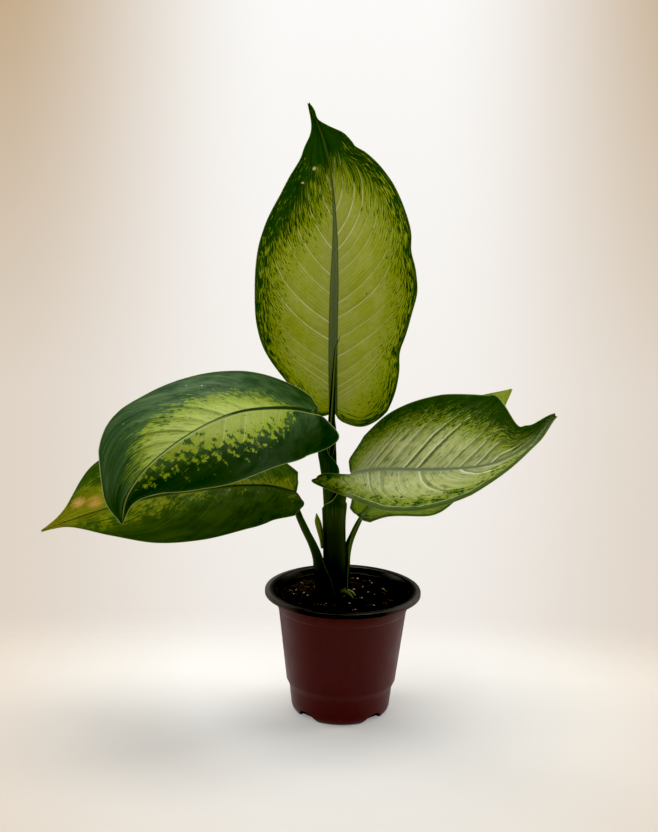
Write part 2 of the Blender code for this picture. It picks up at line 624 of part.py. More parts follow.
def stalk_mesh(name, blade):
    """Loft of crescents: a wrapping sheath that closes to a channelled stalk and ends in the rib."""
    rings = stalk_stations(blade)
    centres = np.array([ring[0] for ring in rings])
    ahead = tangents(centres)
    points = []
    for (centre, back, size), way in zip(rings, ahead):
        inner, middle, edge, clockwise, counter, hollow = size
        back = unit(back - np.dot(back, way) * way)
        side = np.cross(way, back)
        angles = np.radians(np.linspace(-clockwise, counter, STALK_SIDES + 1))
        wrap = np.where(angles < 0, math.radians(clockwise), math.radians(counter))
        thick = edge + (middle - edge) * np.cos(angles / wrap * math.pi / 2) ** 2
        for angle, wall in zip(angles, thick):
            points.append(centre + (inner + wall) * (math.cos(angle) * back + math.sin(angle) * side))
        for angle in angles[::-1]:
            points.append(centre + inner * (hollow * math.cos(angle) * back + math.sin(angle) * side))
    sides = 2 * (STALK_SIDES + 1)
    faces = ring_faces(len(rings), sides)
    for first in (0, (len(rings) - 1) * sides):
        for step in range(STALK_SIDES):
            faces.append((first + step, first + step + 1, first + sides - 2 - step, first + sides - 1 - step))
    return mesh_from(name, points, faces)


def make_leaf(name, spec, collection):
    blade = Blade(spec)
    leaf = add_object(name, blade_mesh(name, blade), collection,
                      plain_material(name + "_green", spec["colour"], 0.45))
    thicken(leaf)
    stalk = add_object(name + "_stalk", stalk_mesh(name + "_stalk", blade), collection)
    join_by_union(leaf, [stalk], name + "_joined")
    leaf.data.shade_smooth()
    leaf.data.set_sharp_from_angle(angle=math.radians(40))


def main():
    clear_scene()
    collection = new_collection("potted_dumb_cane")
    cutters = new_collection("cutters")
    make_pot(collection, cutters)
    make_potting_mix(collection)
    make_cane(collection)
    make_rolled_leaf(collection)
    make_side_shoot(collection)
    for name, spec in LEAVES.items():
        make_leaf(name, spec, collection)


main()
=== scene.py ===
import functools
import math
import random

import bpy
import numpy as np
from mathutils import Matrix, Vector, noise
from mathutils.kdtree import KDTree


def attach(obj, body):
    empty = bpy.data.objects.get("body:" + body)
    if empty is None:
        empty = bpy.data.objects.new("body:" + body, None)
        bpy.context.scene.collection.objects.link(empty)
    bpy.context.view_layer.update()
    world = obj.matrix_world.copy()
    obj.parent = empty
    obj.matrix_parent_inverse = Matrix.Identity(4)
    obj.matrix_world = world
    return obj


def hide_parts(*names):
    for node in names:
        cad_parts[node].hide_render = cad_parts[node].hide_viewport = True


# Potted dumb cane: the looks. Sizes are in millimetres until a mesh takes them.
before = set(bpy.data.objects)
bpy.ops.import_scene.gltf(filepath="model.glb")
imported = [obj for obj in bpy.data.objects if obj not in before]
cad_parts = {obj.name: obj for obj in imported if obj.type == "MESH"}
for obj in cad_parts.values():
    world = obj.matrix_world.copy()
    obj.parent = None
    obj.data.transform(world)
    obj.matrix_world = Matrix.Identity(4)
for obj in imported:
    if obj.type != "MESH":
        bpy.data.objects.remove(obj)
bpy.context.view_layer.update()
scene = bpy.context.scene
mm = 0.001


# Helpers for meshes

def unit(vectors):
    return vectors / np.linalg.norm(vectors, axis=-1, keepdims=True)


def squareTo(ahead, ways):
    return unit(ways - np.sum(ways * ahead, axis=1, keepdims=True) * ahead)


def smooth(low, high, value):
    share = np.clip((np.asarray(value, float) - low) / (high - low), 0, 1)
    return share * share * (3 - 2 * share)


def runLengths(points):
    return np.concatenate([[0], np.cumsum(np.linalg.norm(np.diff(points, axis=0), axis=1))])


def through(knots, values, at):
    # smooth curve through values at rising knots
    knots = np.asarray(knots, float)
    values = np.asarray(values, float)
    if values.ndim == 1:
        return through(knots, values[:, None], at)[..., 0]
    step = np.diff(knots)[:, None]
    rate = np.diff(values, axis=0) / step
    slope = np.empty_like(values)
    slope[0], slope[-1] = rate[0], rate[-1]
    slope[1:-1] = (rate[:-1] * step[1:] + rate[1:] * step[:-1]) / (step[1:] + step[:-1])
    at = np.clip(np.asarray(at, float), knots[0], knots[-1])
    span = np.clip(np.searchsorted(knots, at, side="right") - 1, 0, len(knots) - 2)
    u = ((at - knots[span]) / step[span, 0])[..., None]
    first = (2 * u**3 - 3 * u**2 + 1) * values[span] + (u**3 - 2 * u**2 + u) * step[span] * slope[span]
    last = (3 * u**2 - 2 * u**3) * values[span + 1] + (u**3 - u**2) * step[span] * slope[span + 1]
    return first + last


def densely(knots, count):
    # places spread over the smooth curve through the knots, and how long the line of the knots is
    knots = np.array(knots, float)
    run = runLengths(knots[:, :3])
    return through(run, knots, np.linspace(0, run[-1], count)), run[-1]


def levelRing(x, y, z, reach, angles, flat=1.0):
    return np.stack([x + reach * np.cos(angles), y + flat * reach * np.sin(angles),
                     np.full(len(angles), float(z))], axis=-1)


def ringsRound(line, radii, sides):
    # circles across a line of points
    ahead = unit(np.gradient(line, axis=0))
    side = unit(np.cross(ahead, [0, 0, 1.0]))
    over = np.cross(side, ahead)
    turn = np.linspace(0, 2 * math.pi, sides + 1)[:, None]
    return [p + r * (np.cos(turn) * s + np.sin(turn) * o) for p, r, s, o in zip(line, radii, side, over)]


def sheetOf(name, points, attributes=None):
    # a grid primitive whose vertices take the given places, row by row
    rows, columns = points.shape[:2]
    bpy.ops.mesh.primitive_grid_add(x_subdivisions=columns - 1, y_subdivisions=rows - 1, size=2)
    sheet = bpy.context.object
    sheet.name = name
    mesh = sheet.data
    flat = np.empty(len(mesh.vertices) * 3)
    mesh.vertices.foreach_get("co", flat)
    x, y, _ = (flat.reshape(-1, 3).T + 1) / 2
    order = (np.rint(y * (rows - 1)) * columns + np.rint(x * (columns - 1))).astype(int)
    mesh.vertices.foreach_set("co", (points.reshape(-1, 3)[order] * mm).ravel())
    while mesh.uv_layers:
        mesh.uv_layers.remove(mesh.uv_layers[0])
    for key, values in (attributes or {}).items():
        attribute = mesh.attributes.new(key, "FLOAT_VECTOR", "POINT")
        attribute.data.foreach_set("vector", values.reshape(-1, 3)[order].astype(np.float32).ravel())
    mesh.update()
    return sheet, order


def tubeOf(name, rings, attributes=None):
    # rings of points, each closed by repeating its first point; the seam is merged and the ends are filled
    tube, _ = sheetOf(name, np.array(rings), attributes)
    bpy.ops.object.mode_set(mode="EDIT")
    bpy.ops.mesh.select_all(action="SELECT")
    bpy.ops.mesh.remove_doubles(threshold=0.000002)
    bpy.ops.mesh.fill_holes(sides=0)
    bpy.ops.mesh.select_all(action="SELECT")
    bpy.ops.mesh.normals_make_consistent(inside=False)
    bpy.ops.object.mode_set(mode="OBJECT")
    return tube


def choose(pieces):
    # selects the pieces, with the first one active
    bpy.ops.object.select_all(action="DESELECT")
    for piece in pieces:
        piece.select_set(True)
    bpy.context.view_layer.objects.active = pieces[0]


def join(pieces):
    choose(pieces)
    bpy.ops.object.join()
    return pieces[0]


def applyAll(piece):
    choose([piece])
    for modifier in list(piece.modifiers):
        bpy.ops.object.modifier_apply(modifier=modifier.name)


def dress(piece, node, materials=(), sharp=None):
    # materials, smooth shading up to an angle, and the CAD node that the piece stands in for
    for material in materials:
        piece.data.materials.append(material)
    choose([piece])
    if sharp is None:
        bpy.ops.object.shade_smooth()
    else:
        bpy.ops.object.shade_smooth_by_angle(angle=math.radians(sharp))
    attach(piece, "root")
    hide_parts(node)


# Helpers for materials

def linear(hexColour):
    channels = [int(hexColour[i:i + 2], 16) / 255 for i in (1, 3, 5)]
    return [c / 12.92 if c <= 0.04045 else ((c + 0.055) / 1.055) ** 2.4 for c in channels] + [1]


def connect(node, inputs):
    for key, value in inputs.items():
        if isinstance(value, bpy.types.NodeSocket):
            node.id_data.links.new(value, node.inputs[key])
        else:
            node.inputs[key].default_value = linear(value) if isinstance(value, str) else value


def addNode(tree, kind, inputs=None, out=0, **settings):
    # adds a node with its settings and links, and gives one of its outputs
    node = tree.nodes.new("ShaderNode" + kind)
    for key, value in settings.items():
        setattr(node, key, value)
    connect(node, inputs or {})
    return node.outputs[out]


def newMaterial(name):
    # a material, and addNode bound to its tree
    material = bpy.data.materials.new(name)
    material.use_nodes = True
    return material, functools.partial(addNode, material.node_tree)


def paint(add, colour, layers):
    # lays colours over a first one, each by its share
    for share, over in layers:
        colour = add("Mix", {0: share, 6: colour, 7: over}, out=2, data_type="RGBA")
    return colour


def drawnNoise(add, vector, stretch, detail, rough=0.5):
    # noise drawn out along a grain
    stretched = add("Mapping", {0: vector, "Scale": stretch})
    return add("TexNoise", {"Vector": stretched, "Scale": 1.0, "Detail": detail, "Roughness": rough})


def rampOf(add, share, places, colours):
    # a colour that runs through three stops
    ramp = add("ValToRGB", {0: share})
    stops = ramp.node.color_ramp.elements
    for stop, place, colour in ((stops[0], places[0], colours[0]), (stops[1], places[2], colours[2])):
        stop.position, stop.color = place, linear(colour)
    stops.new(places[1]).color = linear(colours[1])
    return ramp


def coat(material, colour, roughness, height, strength, depth, more):
    # gives the shader its colour, its roughness and a bump of the given strength and depth in metres
    bump = addNode(material.node_tree, "Bump", {"Strength": strength, "Distance": depth, "Height": height})
    shader = material.node_tree.nodes["Principled BSDF"]
    connect(shader, {"Base Color": colour, "Roughness": roughness, "Normal": bump, **more})
    return material


# Leaves

# One walk round the margin is shared by all leaves: from the notch at the stalk, round the lobe, to the
# tip. "round" is the place in the walk, "along" its share of the length, "root" where its side vein leaves
# the midrib.
leafWalk = {
    "round": (0, 0.07, 0.15, 0.24, 0.34, 0.46, 0.58, 0.70, 0.82, 0.92, 1),
    "along": (-0.035, -0.055, -0.08, -0.045, 0.05, 0.205, 0.39, 0.575, 0.755, 0.90, 1),
    "root": (0, 0.011, 0.026, 0.048, 0.085, 0.165, 0.295, 0.455, 0.64, 0.835, 0.995),
    "rows": 231, "ribColumns": 4, "columns": 30,
    "thickness": 0.55, "marginThickness": 0.34, "keel": 2.8, "keelHalfWidth": 1.9,
    "stalkEnd": 11.0, "stalkStep": 1.3, "stalkSteps": 28,
}

stemAxis = np.array([(-6.5, 0.5, 40), (-6.5, 0.5, 92), (-9.1, 0.2, 160), (-12.2, -0.8, 212)])

# Each leaf: midrib points, the way its upper face looks at shares of the length, widths of the left and
# right halves at the walk's knots, reach and way of the lobes, fold and curl, ripples, dents of the margin
# (side, place, depth, spread), side veins of each half, where the pale middle ends, band of the midrib,
# pillow and wrinkles, mm that the tip is raised, azimuth of the stalk's back, and rings of the stalk: a
# height on the stem's axis or a place, then inner radius, thickness in the middle and at the edges, degrees
# each way, and hollow.
plainLeaf = {
    "lobeWays": (None, None),
    "dents": [],
    "hook": 0,
    "tipDark": 0,
    "rolled": (0, 0),
    "veins": [(0.08, 0.16, 0.25, 0.34, 0.43, 0.51, 0.58, 0.65, 0.71, 0.77, 0.82, 0.87, 0.91, 0.95), (0.1,
              0.19, 0.28, 0.37, 0.46, 0.54, 0.61, 0.68, 0.74, 0.79, 0.84, 0.88, 0.92, 0.96)],
    "band": ((0, 1.8), (0.3, 1.3), (0.6, 0.9), (0.85, 0.6), (1, 0.3)),
}
leaves = {
    "leaf_top": {
        "midrib": [(-10.5, 4, 237), (-11.5, 8, 269), (-12, 13, 299), (-12, 20, 335), (-12.5, 29, 371),
                   (-15, 37, 401), (-20.5, 44, 430), (-27, 49, 448), (-35, 52, 464)],
        "faces": [(0, 0.02, -0.98, 0.2), (0.5, -0.03, -0.96, 0.25), (1, -0.1, -0.95, 0.25)],
        "widths": [(2, 5, 9, 15, 29, 54, 60, 55, 33, 8, 0.6), (3.5, 8, 21, 34, 46, 53, 61, 57, 39, 8, 0.6)],
        "lobes": ([0.2] * 5, [0.62] * 5),
        "fold": [((0, -18), (0.3, 2), (1, 8)), ((0, 2), (1, 8))],
        "curl": [((0, -20), (0.4, -6), (1, -6)), ((0, -10), (1, -10))],
        "ripples": [(1, 3.0, 3.2, 0.1), (0, 2.0, 2.3, 0.3)],
        "dents": [(1, 0.66, 2.5, 0.025), (1, 0.45, 2.0, 0.03), (1, 0.58, -1.5, 0.03), (1, 0.95, 2.6, 0.02),
                  (1, 0.9, -3.0, 0.018), (1, 0.868, 1.6, 0.008), (0, 0.895, -2.0, 0.022)],
        "slant": (0.1, 0.42),
        "veins": [(0.08, 0.165, 0.261, 0.32, 0.376, 0.441, 0.52, 0.566, 0.638, 0.68, 0.738, 0.801, 0.85, 0.9,
                  0.95), (0.06, 0.12, 0.176, 0.24, 0.31, 0.381, 0.464, 0.52, 0.579, 0.615, 0.683, 0.711,
                  0.738, 0.769, 0.816, 0.855, 0.9, 0.95)],
        "zones": [((0, 0.88), (0.36, 0.9), (0.46, 0.86), (0.58, 0.82), (0.68, 0.79), (0.73, 0.66),
                  (0.79, 0.5), (0.84, 0.3), (0.87, 0.08), (0.9, -0.3), (1, -0.6)), ((0, 0.88), (0.29, 0.88),
                  (0.46, 0.9), (0.6, 0.88), (0.73, 0.85), (0.79, 0.79), (0.84, 0.62), (0.87, 0.36),
                  (0.9, -0.1), (0.93, -0.4), (1, -0.6))],
        "band": ((0, 2.8), (0.2, 3.1), (0.4, 3.0), (0.5, 2.2), (0.56, 1.6), (0.63, 1.0), (0.7, 0.6),
                 (0.76, 0.35), (1, 0.3)),
        "pillow": (0.5, 0.5),
        "tipDark": 60,
        "crinkle": (0.25, 0.25),
        "azimuth": 90,
        "stalk": [(118, 3.5, 1.5, 1.1, 172, 172, 1), (160, 3.5, 1.5, 1.1, 172, 172, 1),
                  (205, 3.5, 1.5, 1.1, 165, 165, 1), (212, 3.7, 1.6, 1.0, 130, 130, 1),
                  ((-12.0, -0.9, 219), 3.7, 1.7, 1.0, 100, 100, 1),
                  ((-11.8, 0.0, 226), 3.3, 2.0, 1.1, 80, 80, 1),
                  ((-11.3, 2.2, 232), 1.8, 2.2, 1.2, 85, 85, 0.8)],
    },
    "leaf_upper_left": {
        "midrib": [(-23, -8, 239), (-38, -17, 243.5), (-56, -30, 246.5), (-79, -48, 247), (-103, -67, 240),
                   (-126, -83, 227), (-145, -96, 210), (-154, -103, 194), (-156, -105, 178)],
        "faces": [(0, 0.2, -0.6, 0.78), (0.3, 0.23, -0.48, 0.85), (0.6, 0.23, -0.48, 0.85),
                  (1, 0.1, -0.6, 0.6)],
        "widths": [(3, 8, 17, 26, 36, 46, 51, 46, 28, 8, 0.6), (2, 4, 7, 11, 21, 41, 51, 53, 48, 20, 0.6)],
        "lobes": ([0.95] * 5, [0.25] * 5),
        "lobeWays": ((0.95, -0.3, -0.15), None),
        "fold": [((0, -6), (1, -6)), ((0, 0), (1, -6))],
        "curl": [((0, -18), (1, -16)), ((0, -4), (1, -8))],
        "ripples": [(0, 1.6, 2.2, 0), (1, 1.6, 2.6, 0.2)],
        "slant": (0.09, 0.4),
        "veins": [(0.08, 0.16, 0.25, 0.35, 0.458, 0.534, 0.6, 0.668, 0.731, 0.789, 0.843, 0.88, 0.93), (0.1,
                  0.2, 0.3, 0.41, 0.509, 0.59, 0.657, 0.71, 0.76, 0.803, 0.843, 0.88, 0.93)],
        "zones": [((0, -0.4), (0.36, -0.1), (0.4, 0.12), (0.45, 0.3), (0.55, 0.44), (0.62, 0.48), (0.75, 0.4),
                  (0.85, 0.24), (0.89, 0.08), (0.92, -0.15), (1, -0.6)), ((0, -0.4), (0.38, -0.05),
                  (0.41, 0.07), (0.47, 0.23), (0.51, 0.33), (0.59, 0.4), (0.64, 0.46), (0.69, 0.51),
                  (0.78, 0.5), (0.83, 0.52), (0.875, 0.34), (0.91, 0.05), (0.94, -0.2), (1, -0.6))],
        "band": ((0, 1.9), (0.2, 1.5), (0.5, 0.95), (0.8, 0.5), (1, 0.3)),
        "pillow": (-0.45, -0.8),
        "tipDark": 40,
        "crinkle": (0.25, 0.2),
        "azimuth": 208,
        "stalk": [(105, 5.35, 1.5, 1.2, 172, 172, 1), (160, 5.35, 1.5, 1.2, 172, 172, 1),
                  (189, 5.5, 2.3, 1.2, 168, 168, 1), (195, 5.7, 2.8, 1.2, 130, 130, 1),
                  ((-12.0, -0.8, 201), 5.6, 3.1, 1.2, 100, 100, 1),
                  ((-13.7, -1.6, 207), 5.2, 3.1, 1.3, 75, 75, 1),
                  ((-16.6, -3.2, 216), 2.6, 3.0, 1.4, 80, 80, 0.8),
                  ((-19.0, -5.0, 225), 1.5, 2.8, 1.4, 90, 90, 0.5),
                  ((-20.9, -6.4, 233), 1.2, 2.8, 1.4, 90, 90, 0.3)],
    },
    "leaf_lower_left": {
        "midrib": [(-37, -4, 175), (-57, -6.5, 180), (-76.5, -10, 181), (-109, -15, 178.5), (-146, -20, 173),
                   (-183, -26, 163.5), (-205, -30, 156.5), (-226, -34, 149)],
        "faces": [(0, 0.05, -0.5, 0.87), (1, 0.05, -0.5, 0.87)],
        "widths": [(2, 6, 11, 17, 29, 43, 50, 44, 24, 5, 0.6), (3, 8, 13, 18, 27, 45, 54, 58, 49, 13, 0.6)],
        "lobes": ([0.4] * 5, [0.05] * 5),
        "fold": [((0, 4), (1, 0)), ((0, 4), (1, 0))],
        "curl": [((0, -8), (1, -8)), ((0, -8), (1, -8))],
        "ripples": [(0, 1.5, 2.2, 0), (1, 1.5, 2.6, 0.2)],
        "slant": (0.08, 0.36),
        "zones": [((0, -0.4), (0.5, -0.15), (0.7, 0.15), (0.85, 0.5), (1, 1)), ((0, 0.5), (0.25, 0.55),
                  (0.4, 0.2), (0.6, 0.2), (0.8, 0.45), (1, 1))],
        "pillow": (0.35, 0.35),
        "crinkle": (0.3, 0.3),
        "azimuth": 187,
        "stalk": [(86, 9.9, 4.4, 1.4, 70, 95, 1), (104, 9.9, 4.8, 1.2, 55, 80, 1),
                  ((-10.4, 0.0, 121), 9.6, 4.4, 1.2, 26, 62, 1),
                  ((-20.8, -3.0, 137), 3.2, 4.0, 1.4, 50, 80, 0.9),
                  ((-28.4, -4.4, 150), 1.9, 3.6, 1.5, 90, 90, 0.5),
                  ((-33.8, -4.6, 162), 1.5, 3.3, 1.5, 90, 90, 0.4)],
    },
    "leaf_upper_right": {
        "midrib": [(4, -8, 192.5), (23, -24, 200), (53, -51, 208), (76.5, -72, 215), (99, -91, 223.5),
                   (115, -103, 234), (129, -111, 246), (142, -118, 263)],
        "faces": [(0, -0.35, -0.45, 0.83), (0.7, -0.33, -0.5, 0.8), (1, -0.5, -0.4, 0.7)],
        "widths": [(2, 6, 13, 26, 41, 55, 62, 59, 47, 17, 1.5),
                   (1.5, 5, 10, 17.5, 28, 41, 48, 41, 20, 4, 0.6)],
        "lobes": ([0.3] * 5, [0.8, 1.65, 1.36, 2.2, 1.6]),
        "lobeWays": (None, (-0.95, -0.22, 0.22)),
        "fold": [((0, 14), (1, 18)), ((0, 14), (1, 18))],
        "curl": [((0, 6), (1, 6)), ((0, -10), (1, -10))],
        "ripples": [(0, 2.2, 2.6, 0), (1, 1.6, 2.2, 0.2)],
        "dents": [(0, 0.88, 9.0, 0.02), (0, 0.908, 5.0, 0.03), (1, 0.12, -3.0, 0.04)],
        "slant": (0.12, 0.36),
        "veins": [(0.08, 0.16, 0.24, 0.322, 0.395, 0.47, 0.549, 0.603, 0.662, 0.706, 0.75, 0.795, 0.84, 0.876,
                  0.93), (0.08, 0.16, 0.238, 0.337, 0.437, 0.539, 0.621, 0.694, 0.756, 0.816, 0.864, 0.92)],
        "zones": [((0, 0.6), (0.3, 0.64), (0.46, 0.68), (0.56, 0.69), (0.6, 0.68), (0.68, 0.63), (0.75, 0.56),
                  (0.82, 0.5), (0.864, 0.43), (0.9, 0.3), (0.94, -0.1), (1, -0.3)), ((0, 0.5), (0.12, 0.6),
                  (0.22, 0.8), (0.5, 0.86), (0.7, 0.88), (0.86, 0.9), (0.92, 0.7), (1, -0.2))],
        "band": ((0, 2.1), (0.3, 1.6), (0.6, 1.1), (0.85, 0.6), (1, 0.3)),
        "pillow": (-1.3, -0.5),
        "hook": 4.5,
        "tipDark": 40,
        "crinkle": (0.25, 1.0),
        "rolled": (0, 1.5),
        "azimuth": 330,
        "stalk": [(101, 7.25, 2.0, 1.3, 172, 172, 1), (130, 7.25, 2.4, 1.3, 172, 172, 1),
                  (160, 7.4, 3.2, 1.3, 165, 165, 1), (164, 7.7, 3.6, 1.3, 130, 130, 1),
                  (168, 7.7, 3.8, 1.3, 100, 100, 1), ((-8.4, -1.0, 172), 7.2, 3.8, 1.4, 75, 75, 1),
                  ((-5.3, -2.9, 177), 4.8, 3.6, 1.4, 70, 70, 1),
                  ((-0.8, -5.2, 184), 2.2, 3.2, 1.5, 90, 90, 0.7)],
    },
    "leaf_lower_right": {
        "midrib": [(12, 6, 154.5), (20, 14, 161), (42.5, 36, 174), (74.5, 64, 195), (107, 90, 217.5),
                   (133.5, 108, 235.5)],
        "faces": [(0, -0.2, -0.35, 0.9), (1, -0.2, -0.45, 0.85)],
        "widths": [(1, 2.5, 4.5, 8, 16, 36, 46, 42, 30, 15, 0.6),
                   (1, 1.8, 3, 5, 15.5, 42, 43.5, 38, 25, 10, 0.6)],
        "lobes": ([0.1] * 5, [0.1] * 5),
        "fold": [((0, 40), (0.4, 0), (1, -4)), ((0, -4), (0.4, -9), (1, -4))],
        "curl": [((0, -8), (1, -4)), ((0, -14), (1, -8))],
        "ripples": [(0, 1.2, 2.6, 0), (1, 1.2, 2.2, 0.2)],
        "slant": (0.08, 0.36),
        "zones": [((0, 0.85), (0.8, 0.8), (1, 0.5)), ((0, 0.85), (0.8, 0.8), (1, 0.5))],
        "pillow": (0.3, 0.3),
        "crinkle": (0.2, 0.2),
        "azimuth": 25,
        "stalk": [(86, 9.9, 2.0, 1.4, 28, 80, 1), (104, 9.9, 3.0, 1.2, 22, 58, 1),
                  ((-4.4, 2.2, 121), 8.2, 2.8, 1.2, 20, 34, 1), ((3.6, 5.2, 137), 2.0, 2.4, 1.2, 80, 80, 0.8),
                  ((8.2, 6.0, 147), 1.2, 2.3, 1.2, 90, 90, 0.5)],
    },
}


def onStem(height):
    return [np.interp(height, stemAxis[:, 2], stemAxis[:, k]) for k in range(3)]


def leafLine(leaf):
    points, _ = densely(leaf["midrib"], 600)
    run = runLengths(points)
    ahead = unit(np.gradient(points, run, axis=0))
    faces = np.array(leaf["faces"], float)
    up = squareTo(ahead, through(faces[:, 0], faces[:, 1:], run / run[-1]))
    return {"run": run, "points": points, "ahead": ahead, "up": up, "right": np.cross(ahead, up),
            "length": run[-1]}


def readLine(line, key, along):
    return np.stack([np.interp(along, line["run"], line[key][:, k]) for k in range(3)], axis=-1)


def halves(t):
    # the sides, each with the places that lie on it: 0 is left, 1 is right
    return enumerate((t <= 0, t > 0))


def halfWidth(leaf, side, v):
    width = through(leafWalk["round"], leaf["widths"][side], v)
    for dentSide, where, depth, spread in leaf["dents"]:
        if dentSide == side:
            width = width - depth * np.exp(-(((v - where) / spread) ** 2))
    return np.maximum(width, 0.3)


def leafPlaces(leaf, line, v, t):
    # places of the upper face, with the flat distances across and along
    places = np.zeros(v.shape + (3,))
    across, along = np.zeros((2,) + v.shape)
    for side, here in halves(t):
        vs, ks = v[here], np.abs(t[here])
        margin = through(leafWalk["round"], leafWalk["along"], vs)
        reach = through(leafWalk["round"][:5], leaf["lobes"][side], vs)
        margin = np.where(margin < 0, margin * reach, margin)
        root = through(leafWalk["round"], leafWalk["root"], vs)
        s = (root + (margin - root) * (0.6 * ks + 0.4 * ks * ks)) * line["length"]
        x = halfWidth(leaf, side, vs) * ks
        behind = np.maximum(-s, 0)
        turned = 1.5 * (1 - np.exp(-behind / 1.5))  # the lobe leaves the midrib's line in a short bend
        back = -line["ahead"][0]
        way = unit(np.array(leaf["lobeWays"][side])) if leaf["lobeWays"][side] else back
        base = readLine(line, "points", s) + turned[:, None] * back + (behind - turned)[:, None] * way
        share = np.clip(s / line["length"], 0, 1)
        fold, bend = (np.radians(np.interp(share, *zip(*leaf[key][side]))) for key in ("fold", "curl"))
        bend = bend / max(leaf["widths"][side])
        bend = np.where(np.abs(bend) < 1e-5, 1e-5, bend)
        out = (np.sin(fold + bend * x) - np.sin(fold)) / bend
        lift = (np.cos(fold) - np.cos(fold + bend * x)) / bend
        fade = np.minimum(vs / 0.12, 1) * np.minimum((1 - vs) / 0.1, 1)
        for rippleSide, height, count, phase in leaf["ripples"]:
            if rippleSide == side:
                lift = lift + height * ks * ks * np.sin(2 * math.pi * (count * vs + phase)) * fade
        sign = 2 * side - 1
        right, up = (readLine(line, key, s) for key in ("right", "up"))
        places[here] = base + sign * out[:, None] * right + lift[:, None] * up
        across[here], along[here] = sign * x, s
    return places, across, along


def veinStart(leaf, share, k):
    # where on the midrib the side vein through a place starts: veins leave it aslant and turn along the
    # margin
    low, rise = leaf["slant"]
    g = k + 0.8 * k**2 + 1.2 * k**6
    level = share - low * g
    curve = np.maximum(rise * g, 1e-4)
    return np.where(level > 0, (np.sqrt(1 + 4 * curve * np.maximum(level, 0)) - 1) / (2 * curve), level)


def marginDistance(leaf, line, places):
    fine = np.linspace(0, 1, 1600)
    tree = KDTree(2 * len(fine))
    for t in (-1.0, 1.0):
        margin, _, _ = leafPlaces(leaf, line, fine, np.full(fine.shape, t))
        for point in margin:
            tree.insert(point, 0)
    tree.balance()
    return np.array([tree.find(point)[2] for point in places.reshape(-1, 3)]).reshape(places.shape[:2])


def bladeGrid(leaf):
    # places in the walk, and shares of the half width: finer columns over the midrib than over the blade
    v = np.linspace(0, 1, leafWalk["rows"])
    root = through(leafWalk["round"], leafWalk["root"], v)
    shares = []
    for side in (0, 1):
        ribWidth = 1.5 * np.interp(root, *zip(*leaf["band"]))
        ribShare = np.minimum(ribWidth / halfWidth(leaf, side, v), 0.4)[:, None]
        inner = ribShare * np.linspace(0, 1, leafWalk["ribColumns"] + 1)[None, :]
        outer = 1 - (1 - np.linspace(0, 1, leafWalk["columns"] + 1)[1:]) ** 1.15
        shares.append(np.concatenate([inner, ribShare + (1 - ribShare) * outer[None, :]], axis=1))
    t = np.concatenate([-shares[0][:, :0:-1], shares[1]], axis=1)
    return np.repeat(v[:, None], t.shape[1], axis=1), t


